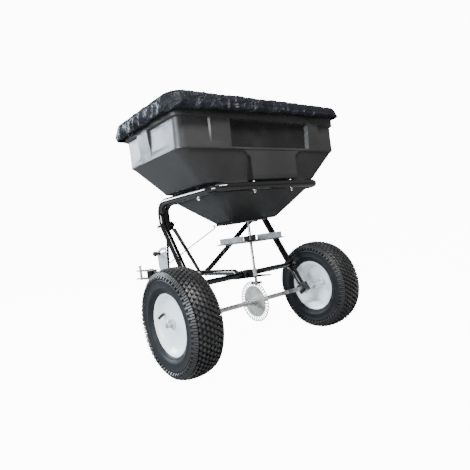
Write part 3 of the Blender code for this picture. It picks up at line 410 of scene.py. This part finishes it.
# height, half width, half depth, corner radius, wrap panel depth, middle panel depth, bulge of the lower middle
HOPPER_LEVELS = (
    (0.7950, 0.3480, 0.1760, 0.036, 0.0, 0.0, 0.0),
    (0.7830, 0.3480, 0.1760, 0.036, 0.0, 0.0, 0.0),
    (0.7805, 0.3380, 0.1650, 0.030, 0.0, 0.0, 0.0),
    (0.7400, 0.3376, 0.1642, 0.030, 0.0, 0.0, 0.0),
    (0.7370, 0.3375, 0.1640, 0.030, 0.0012, 0.0012, 0.0),
    (0.7335, 0.3372, 0.1637, 0.030, 0.0080, 0.0130, 0.0),
    (0.7150, 0.3361, 0.1624, 0.030, 0.0068, 0.0140, 0.0),
    (0.7000, 0.3349, 0.1610, 0.030, 0.0055, 0.0140, 0.0),
    (0.6850, 0.3337, 0.1599, 0.030, 0.0040, 0.0140, 0.0),
    (0.6700, 0.3325, 0.1587, 0.030, 0.0020, 0.0140, 0.0),
    (0.6580, 0.3316, 0.1576, 0.030, 0.0006, 0.0130, 0.0),
    (0.6545, 0.3313, 0.1573, 0.030, 0.0, 0.0012, 0.0),
    (0.6500, 0.3310, 0.1570, 0.030, 0.0, 0.0, 0.0),
    (0.6465, 0.3265, 0.1522, 0.030, 0.0, 0.0, 0.0023),
    (0.6420, 0.3222, 0.1506, 0.030, 0.0, 0.0, 0.0039),
    (0.6370, 0.3175, 0.1490, 0.031, 0.0, 0.0, 0.0055),
    (0.6310, 0.3118, 0.1472, 0.031, 0.0, 0.0, 0.0073),
    (0.6250, 0.3061, 0.1455, 0.032, 0.0, 0.0, 0.0090),
    (0.6000, 0.2817, 0.1393, 0.034, 0.0, 0.0, 0.0152),
    (0.5750, 0.2573, 0.1333, 0.037, 0.0, 0.0, 0.0212),
    (0.5630, 0.2455, 0.1308, 0.038, 0.0, 0.0, 0.0237),
    (0.5580, 0.2400, 0.1303, 0.038, 0.0, 0.0, 0.0222),
    (0.5548, 0.2120, 0.1305, 0.040, 0.0, 0.0, 0.0150),
    (0.5515, 0.2055, 0.1310, 0.042, 0.0, 0.0, 0.0),
    (0.5270, 0.2040, 0.1320, 0.040, 0.0, 0.0, 0.0),
    (0.4840, 0.1520, 0.0910, 0.026, 0.0, 0.0, 0.0),
    (0.4410, 0.1000, 0.0470, 0.012, 0.0, 0.0, 0.0),
)
# position above the ledge, position at the shoulder, wrap panel, middle panel, bulge
LONG_COLUMNS = (
    (-0.2250, -0.161, 1.0, 0.0, 0.0), (-0.2215, -0.158, 0.0, 0.0, 0.0), (-0.1510, -0.129, 0.0, 0.0, 0.0),
    (-0.1475, -0.126, 0.0, 1.0, 0.0), (-0.0845, -0.086, 0.0, 1.0, 0.0), (-0.0800, -0.082, 0.0, 1.0, 1.0),
    (0.0000, 0.000, 0.0, 1.0, 1.0), (0.1160, 0.114, 0.0, 1.0, 1.0), (0.1205, 0.118, 0.0, 1.0, 0.0),
    (0.1830, 0.150, 0.0, 1.0, 0.0), (0.1865, 0.156, 0.0, 0.0, 0.0), (0.2385, 0.176, 0.0, 0.0, 0.0),
    (0.2420, 0.183, 1.0, 0.0, 0.0),
)
END_COLUMNS = (
    (-0.0062, -0.006, 1.0, 0.0, 0.0), (-0.0035, -0.0035, 0.0, 0.0, 0.0), (0.0605, 0.0530, 0.0, 0.0, 0.0),
    (0.0632, 0.0555, 1.0, 0.0, 0.0),
)
CORNER_STEPS = 7
LEDGE_Z = 0.6465
SHOULDER_Z = 0.5580
# Half lengths of the flat walls at the shoulder, which the funnel's columns shrink from.
LONG_FLAT, END_FLAT = 0.202, 0.0982
# The sides of the lower middle bulge flare out just under the ledge.
FLARE = 0.024
FLARE_SHARE = 0.24
FLARE_FROM, FLARE_TO = 0.07, 0.125
# Heights between which the bulge's side faces and the middle recess have finishes of their own, painted darker
# as shade.
SHADED_WALL_LOW, SHADED_WALL_HIGH = SHOULDER_Z - 0.004, LEDGE_Z - 0.012
SHADED_RECESS_LOW, SHADED_RECESS_HIGH = 0.650, 0.735
SHADED_WALL_SLOT, SHADED_RECESS_SLOT = 1, 2
HOPPER_WALL = 0.0035
HOPPER_EDGE = 0.0022
HOPPER_SHARP = 28.0


def hopper_columns():
    """Each column round the hopper as (side, kind, row or share), anticlockwise from the rear left."""
    columns = []
    for side in range(4):
        rows = LONG_COLUMNS if side % 2 == 0 else END_COLUMNS
        if side >= 2:
            rows = [(-above, -below, *weights) for above, below, *weights in reversed(rows)]
        columns.append((side, "start", None))
        columns += [(side, "flat", row) for row in rows]
        columns.append((side, "finish", None))
        columns += [(side, "corner", (i + 1) / (CORNER_STEPS + 1)) for i in range(CORNER_STEPS)]
    return columns


def column_position(row, z, flat, long_side):
    """How far along its wall a column stands at one height."""
    above, below = row[:2]
    if z < SHOULDER_Z:
        return below * flat / (LONG_FLAT if long_side else END_FLAT)
    share = clamped((LEDGE_Z - z) / (LEDGE_Z - SHOULDER_Z))
    at = above + (below - above) * share
    if long_side and FLARE_FROM < abs(above) < FLARE_TO and share < FLARE_SHARE and z <= LEDGE_Z:
        at += math.copysign(FLARE * (1.0 - share / FLARE_SHARE) ** 2, at)
    return at


def hopper_point(column, level):
    side, kind, row = column
    z, half_x, half_y, corner, wrap, middle, bulge = level
    long_side = side % 2 == 0
    along_half, out_half = (half_x, half_y) if long_side else (half_y, half_x)
    flat = along_half - corner
    if kind == "flat":
        inward = wrap * row[2] + middle * row[3] - bulge * row[4]
        point = Vector((column_position(row, z, flat, long_side), -out_half + inward))
    elif kind == "corner":
        turn = row * math.pi / 2.0
        reach = corner - wrap
        point = Vector((flat + math.sin(turn) * reach, -(out_half - corner) - math.cos(turn) * reach))
    else:
        point = Vector((-flat if kind == "start" else flat, -out_half + wrap))
    angle = side * math.pi / 2.0
    x = point.x * math.cos(angle) - point.y * math.sin(angle)
    y = point.x * math.sin(angle) + point.y * math.cos(angle)
    return Vector((x, HOPPER_Y + y, z))


def make_hopper():
    columns = hopper_columns()
    shape = bmesh.new()
    rings = [[shape.verts.new(hopper_point(column, level)) for column in columns] for level in HOPPER_LEVELS]
    for upper, lower in zip(rings, rings[1:]):
        for i in range(len(columns)):
            j = (i + 1) % len(columns)
            face = shape.faces.new((upper[i], upper[j], lower[j], lower[i]))
            if columns[i][1] != "flat" and columns[j][1] != "flat":
                continue
            ends = [column[2] if column[1] == "flat" else (0.0,) * 5 for column in (columns[i], columns[j])]
            high, low = upper[i].co.z, lower[i].co.z
            # The side faces of the bulge take the darker finish, which is painted shade.
            if ends[0][4] != ends[1][4] and SHADED_WALL_LOW < high < SHADED_WALL_HIGH:
                face.material_index = SHADED_WALL_SLOT
            # The floor of the middle recess takes the darker finish, which is painted shade.
            if ends[0][3] and ends[1][3] and SHADED_RECESS_LOW < low and high < SHADED_RECESS_HIGH:
                face.material_index = SHADED_RECESS_SLOT
    shape.faces.new(rings[-1])
    hopper = piece("hopper_shell", shape, [PLASTIC, SHADED_WALL, SHADED_RECESS], "frame", HOPPER_SHARP)
    add_wall(hopper, HOPPER_WALL)
    add_bevel(hopper, "soft_edges", HOPPER_EDGE, HOPPER_SHARP)
    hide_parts("hopper")


# ---------------------------------------------------------------- rain cover

COVER_STEPS = 240
COVER_HALF_X = 0.3565
COVER_HALF_Y = 0.1845
COVER_CORNER = 0.045
COVER_TOP = 0.7992
COVER_CROWN = 0.0090
CLOTH = 0.0006
# How sharply the outward direction turns from one side to the next at a corner.
CORNER_POWER = 9
# The top reaches this far from the middle to the hem; then come a rounded shoulder, a skirt and the hem.
TOP_SHARE = 0.78
SHOULDER = 0.024
SHOULDER_END = 0.42
SKIRT_BULGE = 0.0022
HEM_START = 0.86
HEM_Z = 0.7575
HEM_RISE = 0.0100
HEM_DIP = 0.002
HEM_TUCK = 0.0045
INNER_SCALE = (COVER_HALF_X - SHOULDER) / COVER_HALF_X
# The skirt is gathered more at the left end.
GATHER_FROM, GATHER_WIDTH = 0.27, 0.08


def cover_outline(u, v):
    """Point on the rounded outline in the direction of a point on the unit square's edge."""
    x, y = u * COVER_HALF_X, v * COVER_HALF_Y
    inner_x, inner_y = COVER_HALF_X - COVER_CORNER, COVER_HALF_Y - COVER_CORNER
    if abs(x) > inner_x and abs(y) > inner_y:
        away = Vector((abs(x) - inner_x, abs(y) - inner_y))
        away = away.normalized() * COVER_CORNER
        x = math.copysign(inner_x + away.x, x)
        y = math.copysign(inner_y + away.y, y)
    return Vector((x, y))


def ripple(x, y, scale, seed):
    return noise.noise(Vector((x * scale, y * scale, seed)))


def ridged(place, scale, seed):
    """Sharp crease pattern between 0 and 1."""
    return 1.0 - min(1.0, abs(noise.noise(place * scale + Vector((seed, seed * 1.7, -seed)))) * 2.4)


def skirt_point(edge, outward, skirt):
    """Point of the turned-down side, from the top's rim at 0 to the end of the hem at 1."""
    hem = HEM_Z + HEM_RISE * edge.x / COVER_HALF_X
    hem += 0.004 * ripple(edge.x, edge.y, 9.0, 3.1) + 0.003 * ripple(edge.x, edge.y, 42.0, 7.7)
    scale, inset = 1.0, 0.0
    if skirt < SHOULDER_END:
        turn = skirt / SHOULDER_END * math.pi / 2.0
        scale = INNER_SCALE + (1.0 - INNER_SCALE) * math.sin(turn)
        height = COVER_TOP - SHOULDER * (1.0 - math.cos(turn))
    elif skirt < HEM_START:
        share = (skirt - SHOULDER_END) / (HEM_START - SHOULDER_END)
        height = COVER_TOP - SHOULDER + (hem - COVER_TOP + SHOULDER) * share
        inset = -SKIRT_BULGE * math.sin(share * math.pi)
    else:
        share = (skirt - HEM_START) / (1.0 - HEM_START)
        height = hem - HEM_DIP * math.sin(share * math.pi)
        inset = HEM_TUCK * share
    return Vector((edge.x * scale, edge.y * scale, height)) - outward * inset


def cover_point(u, v):
    """Point of the crinkled cover for a point of the unit square."""
    ring = max(abs(u), abs(v), 1e-6)
    edge = cover_outline(u / ring, v / ring)
    outward = Vector((math.copysign(abs(edge.x / COVER_HALF_X) ** CORNER_POWER, edge.x),
                      math.copysign(abs(edge.y / COVER_HALF_Y) ** CORNER_POWER, edge.y), 0.0))
    if outward.length > 1e-6:
        outward.normalize()
    if ring <= TOP_SHARE:
        share = ring / TOP_SHARE
        near = edge * INNER_SCALE
        place = Vector((near.x * share, near.y * share, COVER_TOP + COVER_CROWN * (1.0 - share ** 4)))
        skirt = 0.0
    else:
        skirt = (ring - TOP_SHARE) / (1.0 - TOP_SHARE)
        place = skirt_point(edge, outward, skirt)
    top = 1.0 - smooth_step(skirt * 1.6)
    side = 1.0 - top
    gather = smooth_step((-edge.x - GATHER_FROM) / GATHER_WIDTH)
    # Waves and creases of the top move it up and down; the skirt's move it in and out and run down it.
    lift = 0.0014 * noise.noise(place * 11.0 + Vector((2.0, 5.0, 0.0)))
    lift += 0.0026 * ridged(place, 17.0, 4.0) * ridged(place, 9.0, 8.0)
    lift += 0.0016 * ridged(place, 46.0, 1.0)
    folds = Vector((place.x, place.y, place.z * 0.45))
    push = 0.0026 * noise.noise(folds * 24.0 + Vector((0.0, 9.0, 0.0)))
    push += 0.0066 * (ridged(folds, 30.0, 2.0) - 0.5)
    push += 0.0016 * (ridged(place, 80.0, 6.0) - 0.5)
    slanted = folds + Vector((0.0, place.z * 0.5, 0.0))
    push += gather * 0.0100 * (ridged(slanted, 17.0, 11.0) - 0.5)
    taut = 1.0 - 0.6 * smooth_step((skirt - 0.8) / 0.2)
    place.z += top * lift + side * 0.0012 * noise.noise(place * 60.0)
    place += outward * (side * push * taut)
    place.y += COVER_Y
    return place


def make_cover():
    shape = bmesh.new()
    bmesh.ops.create_grid(shape, x_segments=COVER_STEPS, y_segments=COVER_STEPS, size=1.0)
    for vert in shape.verts:
        vert.co = cover_point(vert.co.x, vert.co.y)
    cover = piece("cover_cloth", shape, [NYLON], "cover", 70.0)
    add_wall(cover, CLOTH)
    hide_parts("rain_cover")
    hem = make_hem()


HEM_STEPS = 260
HEM_SIDES = 8
HEM_RADIUS = 0.0024
HEM_PUCKER = 0.0007


def make_hem():
    """Elastic band sewn into the cover's edge."""
    shape = bmesh.new()
    rings = []
    for i in range(HEM_STEPS):
        way_round = i / HEM_STEPS * 8.0
        side, along = int(way_round // 2), (way_round % 2.0) - 1.0
        u, v = ((along, -1.0), (1.0, along), (-along, 1.0), (-1.0, -along))[side]
        centre = cover_point(u, v)
        edge = cover_outline(u, v)
        outward = Vector((edge.x / COVER_HALF_X ** 2, edge.y / COVER_HALF_Y ** 2, 0.0)).normalized()
        swell = HEM_RADIUS + HEM_PUCKER * noise.noise(centre * 90.0)
        ring = []
        for k in range(HEM_SIDES):
            turn = k * math.tau / HEM_SIDES
            upward = Vector((0.0, 0.0, math.sin(turn) * swell))
            ring.append(shape.verts.new(centre + outward * math.cos(turn) * swell + upward))
        rings.append(ring)
    for one, two in zip(rings, rings[1:] + rings[:1]):
        for k in range(HEM_SIDES):
            after = (k + 1) % HEM_SIDES
            shape.faces.new((one[k], one[after], two[after], two[k]))
    return piece("cover_hem", shape, [NYLON], "cover", 80.0)


CORD_RADIUS = 0.0011
CORD_STEPS = 36
CORD_SWAY = 0.0012


def make_drawcord():
    """Short loop of elastic cord that hangs from the hem at the left end."""
    low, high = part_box("cover_drawcord")
    centre_y = (low.y + high.y) / 2.0
    half = (high.y - low.y) / 2.0 - CORD_RADIUS
    top = high.z - CORD_RADIUS
    drop = high.z - low.z - 2.0 * CORD_RADIUS
    points = []
    for i in range(CORD_STEPS + 1):
        turn = math.pi * i / CORD_STEPS
        sway = CORD_SWAY * math.sin(2.0 * turn)
        points.append((low.x + 0.0026 - 0.0014 * math.sin(turn) + sway, centre_y - half * math.cos(turn),
                       top - drop * math.sin(turn) ** 0.8))
    curve = bpy.data.curves.new("cover_cord", "CURVE")
    curve.dimensions = "3D"
    curve.bevel_depth = CORD_RADIUS
    curve.bevel_resolution = 4
    curve.use_fill_caps = True
    line = curve.splines.new("POLY")
    line.points.add(len(points) - 1)
    for point, at in zip(line.points, points):
        point.co = (*at, 1.0)
    cord = placed("cover_cord", curve)
    curve.materials.append(BRAID)
    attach(cord, "cover")
    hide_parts("cover_drawcord")


# ---------------------------------------------------------------- wheels

# Outer half of the tyre's section from bead to crown, as radius and distance from the middle.
CASING = (
    (0.0925, 0.0330), (0.0930, 0.0375), (0.0955, 0.0400), (0.0990, 0.0425), (0.1010, 0.0428),
    (0.1025, 0.0446), (0.1090, 0.0468), (0.1105, 0.0478), (0.1125, 0.0478), (0.1140, 0.0474),
    (0.1230, 0.0484), (0.1300, 0.0482), (0.1310, 0.0489), (0.1330, 0.0488), (0.1345, 0.0478),
    (0.1400, 0.0458), (0.1455, 0.0425), (0.1502, 0.0375), (0.1536, 0.0305), (0.1561, 0.0200),
    (0.1572, 0.0100), (0.1576, 0.0),
)
LINING = (
    (0.0925, -0.024), (0.118, -0.040), (0.140, -0.038), (0.1505, -0.020), (0.1515, 0.0),
    (0.1505, 0.020), (0.140, 0.038), (0.118, 0.040), (0.0925, 0.024),
)
CASING_STEPS = 128
TREAD_STARTS = 0.1455
TREAD_SLOT, SIDEWALL_SLOT = 0, 1
CROWN = sorted((row[::-1] for row in CASING if row[0] > 0.1405), reverse=True)

PITCHES = 62
# distance from the middle, height of block, length round, width across
BLOCK_ROWS = (
    (0.0, 0.0070, 0.0122, 0.0102), (0.0118, 0.0071, 0.0122, 0.0102),
    (0.0232, 0.0074, 0.0124, 0.0104), (0.0338, 0.0078, 0.0116, 0.0096),
)
BLOCK_TWIST = 0.12
BLOCK_TOP = 0.66
BLOCK_ROOT = 0.0016
# A square's diagonal over its side.
DIAGONAL = 1.414
CROWN_CURVE = 0.085
LUG_X, LUG_RADIUS, LUG_TILT = 0.0425, 0.1500, math.radians(52.0)
LUG_LONG, LUG_SHORT = 0.0215, 0.0140
LUG_WIDTH, LUG_HEIGHT, LUG_START = 0.0072, 0.0086, 0.0062
LUG_TOP_LENGTH, LUG_TOP_WIDTH = 0.92, 0.72


def wheel_place(sign):
    turn = Matrix.Identity(4) if sign > 0 else Matrix.Scale(-1.0, 4, Vector((1.0, 0.0, 0.0)))
    return Matrix.Translation((sign * WHEEL_X, AXLE_Y, AXLE_Z)) @ turn


def casing_profile():
    mirrored = tuple((radius, -along) for radius, along in reversed(CASING[:-1]))
    return CASING + mirrored + LINING


def casing_radius(along):
    """Radius of the casing under the tread at one distance from the middle."""
    for (far, low), (near, high) in zip(CROWN, CROWN[1:]):
        if far >= along >= near:
            return low + (high - low) * (far - along) / max(far - near, 1e-9)
    return CROWN[-1][1]


def add_block(shape, angle, along, height, length, width, twist):
    """One tread block: a four-sided stump with a narrower top."""
    radius = casing_radius(abs(along)) - BLOCK_ROOT
    lean = math.copysign(math.atan2(abs(along), CROWN_CURVE), along)
    turn = Matrix.Rotation(angle, 4, "X")
    stand = Matrix.Translation((along, 0.0, radius + height / 2.0))
    tilt = Matrix.Rotation(lean, 4, "Y")
    size = Matrix.Diagonal((width / DIAGONAL, length / DIAGONAL, 1.0, 1.0))
    bmesh.ops.create_cone(shape, cap_ends=True, segments=4, radius1=1.0, radius2=BLOCK_TOP,
                          depth=height + 2.0 * BLOCK_ROOT,
                          matrix=turn @ stand @ tilt @ Matrix.Rotation(twist, 4, "Z") @ size)


def add_lug(shape, angle, side, reach):
    """Shoulder lug that runs down onto the sidewall."""
    turn = Matrix.Rotation(angle, 4, "X")
    stand = Matrix.Translation((side * LUG_X, 0.0, LUG_RADIUS))
    tilt = Matrix.Rotation(side * LUG_TILT, 4, "Y")
    slide = Matrix.Translation((side * (reach / 2.0 - LUG_START), 0.0, 0.0))
    size = Matrix.Diagonal((reach, LUG_WIDTH, LUG_HEIGHT, 1.0))
    made = bmesh.ops.create_cube(shape, size=1.0, matrix=Matrix.Identity(4))
    for vert in made["verts"]:
        if vert.co.z > 0:
            vert.co.x *= LUG_TOP_LENGTH
            vert.co.y *= LUG_TOP_WIDTH
    bmesh.ops.transform(shape, matrix=turn @ stand @ tilt @ slide @ size, verts=made["verts"])


def make_tread():
    """Staggered rows of blocks, with long and short shoulder lugs in turn."""
    shape = bmesh.new()
    step = math.tau / PITCHES
    for i in range(PITCHES):
        for row, (along, height, length, width) in enumerate(BLOCK_ROWS):
            for way in ((1,) if along == 0.0 else (1, -1)):
                angle = i * step + (step / 2.0 if row % 2 else 0.0)
                add_block(shape, angle, way * along, height, length, width, way * BLOCK_TWIST)
        for way in (1, -1):
            add_lug(shape, (i + 0.25 * way) * step, way, LUG_LONG)
            add_lug(shape, (i + 0.5 + 0.25 * way) * step, way, LUG_SHORT)
    return shape


def make_tyre(side, sign, body):
    place = wheel_place(sign)
    shape = spun(bmesh.new(), casing_profile(), Matrix.Identity(4), CASING_STEPS)
    for face in shape.faces:
        middle = face.calc_center_median()
        on_tread = math.hypot(middle.y, middle.z) > TREAD_STARTS
        face.material_index = TREAD_SLOT if on_tread else SIDEWALL_SLOT
    casing = piece(side + "_tyre_casing", oriented(shape, place), [TREAD, SIDEWALL], body, 40.0)
    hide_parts(side + "_tyre")
    tread = piece(side + "_tyre_tread", oriented(make_tread(), place), [TREAD], body, 30.0)
    tread.parent = casing
    tread.matrix_parent_inverse = Matrix.Identity(4)


RIM_STEPS = 96
RIM_SHARP = 50.0
RIM_EDGE = 0.0006
# Half the rim's width, how far out the dished face stands, the well's radius, and the sheet's thickness.
HALF, FACE, WELL, SHEET = 0.034, 0.027, 0.076, 0.0022
RIM = (
    (0.0905, HALF + 0.0022), (0.0928, HALF + 0.0034), (0.0948, HALF + 0.0024), (0.0952, HALF + 0.0004),
    (0.0930, HALF - 0.0012), (0.0908, HALF - 0.0004), (0.0880, HALF - 0.0015), (0.0840, HALF - 0.0030),
    (WELL + SHEET, FACE - 0.006), (WELL + SHEET, -FACE + 0.006), (0.0840, -HALF + 0.0030),
    (0.0880, -HALF + 0.0015), (0.0908, -HALF + 0.0004), (0.0930, -HALF + 0.0012),
    (0.0952, -HALF - 0.0004), (0.0948, -HALF - 0.0024), (0.0928, -HALF - 0.0034),
    (0.0905, -HALF - 0.0022), (0.0870, -HALF - 0.0008), (0.0820, -HALF + 0.0020), (WELL, -FACE + 0.004),
    (WELL, FACE - 0.0062), (0.0700, FACE - 0.0072), (0.0580, FACE - 0.0086), (0.0320, FACE - 0.0062),
    (0.0280, FACE - 0.0046), (0.0155, FACE - 0.0046), (0.0155, FACE - 0.0024), (0.0290, FACE - 0.0024),
    (0.0330, FACE - 0.0040), (0.0585, FACE - 0.0064), (0.0700, FACE - 0.0048), (0.0760, FACE - 0.0020),
    (0.0800, FACE + 0.0020), (0.0845, FACE + 0.0062),
)


def make_rim(side, sign, body):
    """Pressed rim with rolled flanges, a well and a dished face near its outer side."""
    shape = spun(bmesh.new(), RIM, wheel_place(sign), RIM_STEPS)
    rim = piece(side + "_wheel_rim", shape, [ENAMEL], body, RIM_SHARP)
    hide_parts(side + "_rim")
    add_bevel(rim, "rolled_edges", RIM_EDGE, RIM_SHARP)


# ---------------------------------------------------------------- small fixings

REAR_SCREW_X = 0.080
SIDE_SCREW_X = 0.2185
SIDE_SCREW_Y = AXLE_Y - 0.045


def make_ring_screws():
    """Screws that hold the hopper's shoulder down on its ring, with their nuts below the tube."""
    shape = bmesh.new()
    rear_y = RING_LOW.y + TUBE_RADIUS
    spots = [(-REAR_SCREW_X, rear_y), (REAR_SCREW_X, rear_y),
             (-SIDE_SCREW_X, SIDE_SCREW_Y), (SIDE_SCREW_X, SIDE_SCREW_Y)]
    under, above = RING_Z - TUBE_RADIUS, RING_Z + TUBE_RADIUS
    for x, y in spots:
        stub(shape, (x, y, under - 0.0006), 0.0075, 0.0012, 20, 1.0)
        stub(shape, (x, y, under - 0.0034), 0.0062, 0.0046)
        stub(shape, (x, y, under - 0.0070), 0.0029, 0.0050, 12, 0.9)
        stub(shape, (x, y, above + 0.0012), 0.0056, 0.0028, 20, 0.7)
    piece("ring_screws", shape, [ZINC], "frame", 30.0)


def make_disc_boss():
    """Shallow round boss under the middle of the disc."""
    low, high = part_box("impeller")
    middle = (low + high) / 2.0
    shape = bmesh.new()
    stub(shape, (middle.x, middle.y, low.z - 0.0016), 0.0095, 0.0030, 24, 1.0)
    piece("disc_boss", shape, [ZINC], "spinner", 30.0)


# ---------------------------------------------------------------- studio

FLOOR_SIZE = 60.0
# Brightness of the backdrop as the camera sees it, and of the soft light that it gives.
BACKDROP = 12.0
SOFT_LIGHT = 0.30
WHITE = (1.0, 1.0, 1.0, 1.0)

CAMERA_PLACE = (-0.9303, -1.4546, 0.4075)
CAMERA_YAW, CAMERA_PITCH, CAMERA_ROLL = 0.6726, 0.0072, -0.1362
CAMERA_LENS = 32.02

# name, place, point aimed at, size, power, colour
LAMPS = (
    ("front_left_panel", (-1.9, 2.5, 1.75), (-0.34, -0.36, 0.70), (1.8, 0.6), 190.0, (0.78, 0.89, 1.0)),
    ("overhead_panel", (-0.5, -1.7, 2.4), (0.0, -0.3, 0.5), (1.4, 0.35), 120.0, (1.0, 0.99, 0.97)),
    ("left_fill", (-2.7, -1.0, 0.9), (0.0, -0.36, 0.2), (1.0, 0.8), 100.0, (0.88, 0.95, 1.0)),
)


def make_floor():
    """Pale floor that shows as bright as the backdrop."""
    shape = bmesh.new()
    bmesh.ops.create_grid(shape, x_segments=1, y_segments=1, size=FLOOR_SIZE)
    mesh = bpy.data.meshes.new("studio_floor")
    shape.to_mesh(mesh)
    shape.free()
    floor = placed("studio_floor", mesh)
    made = Finish("studio_floor", (0.25, 0.25, 0.25), 0.9)
    made.roughness(made.cloudy(3.0), 0.3, 0.7, 0.85, 0.95)
    made.set("Emission Color", made.node("ShaderNodeLightPath", output="Is Camera Ray"))
    made.set("Emission Strength", BACKDROP)
    mesh.materials.append(made.material)


def make_world():
    world = bpy.data.worlds.new("studio")
    bpy.context.scene.world = world
    world.use_nodes = True
    tree = world.node_tree
    back = tree.nodes["Background"]
    back.inputs["Color"].default_value = WHITE
    ray = tree.nodes.new("ShaderNodeLightPath")
    strength = tree.nodes.new("ShaderNodeMapRange")
    strength.inputs["To Min"].default_value = SOFT_LIGHT
    strength.inputs["To Max"].default_value = BACKDROP
    tree.links.new(ray.outputs["Is Camera Ray"], strength.inputs["Value"])
    tree.links.new(strength.outputs["Result"], back.inputs["Strength"])


def make_lamp(name, place, aim, size, power, colour):
    data = bpy.data.lights.new(name, "AREA")
    data.shape = "RECTANGLE"
    data.size, data.size_y = size
    data.energy = power
    data.color = colour
    lamp = placed(name, data)
    lamp.location = place
    lamp.rotation_euler = (Vector(aim) - Vector(place)).to_track_quat("-Z", "Y").to_euler()
    lamp.visible_camera = False


def make_camera():
    flat = math.cos(CAMERA_PITCH)
    ahead = Vector((math.sin(CAMERA_YAW) * flat, math.cos(CAMERA_YAW) * flat, -math.sin(CAMERA_PITCH)))
    right = ahead.cross(Vector((0.0, 0.0, 1.0))).normalized()
    up = right.cross(ahead)
    right_rolled = right * math.cos(CAMERA_ROLL) + up * math.sin(CAMERA_ROLL)
    up_rolled = up * math.cos(CAMERA_ROLL) - right * math.sin(CAMERA_ROLL)
    turn = Matrix((right_rolled, up_rolled, -ahead)).transposed().to_4x4()
    data = bpy.data.cameras.new("camera")
    data.lens = CAMERA_LENS
    data.sensor_width = 36.0
    data.clip_start = 0.05
    data.clip_end = 200.0
    data.dof.use_dof = False
    camera = placed("camera", data)
    camera.matrix_world = Matrix.Translation(CAMERA_PLACE) @ turn
    bpy.context.scene.camera = camera


make_camera()
make_world()
make_floor()
for lamp in LAMPS:
    make_lamp(*lamp)
make_drawcord()
make_hopper()
make_cover()
for wheel_side, wheel_sign, wheel_body in (("left", -1, "drive_axle"), ("right", 1, "idle_wheel")):
    make_tyre(wheel_side, wheel_sign, wheel_body)
    make_rim(wheel_side, wheel_sign, wheel_body)
make_ring_screws()
make_disc_boss()
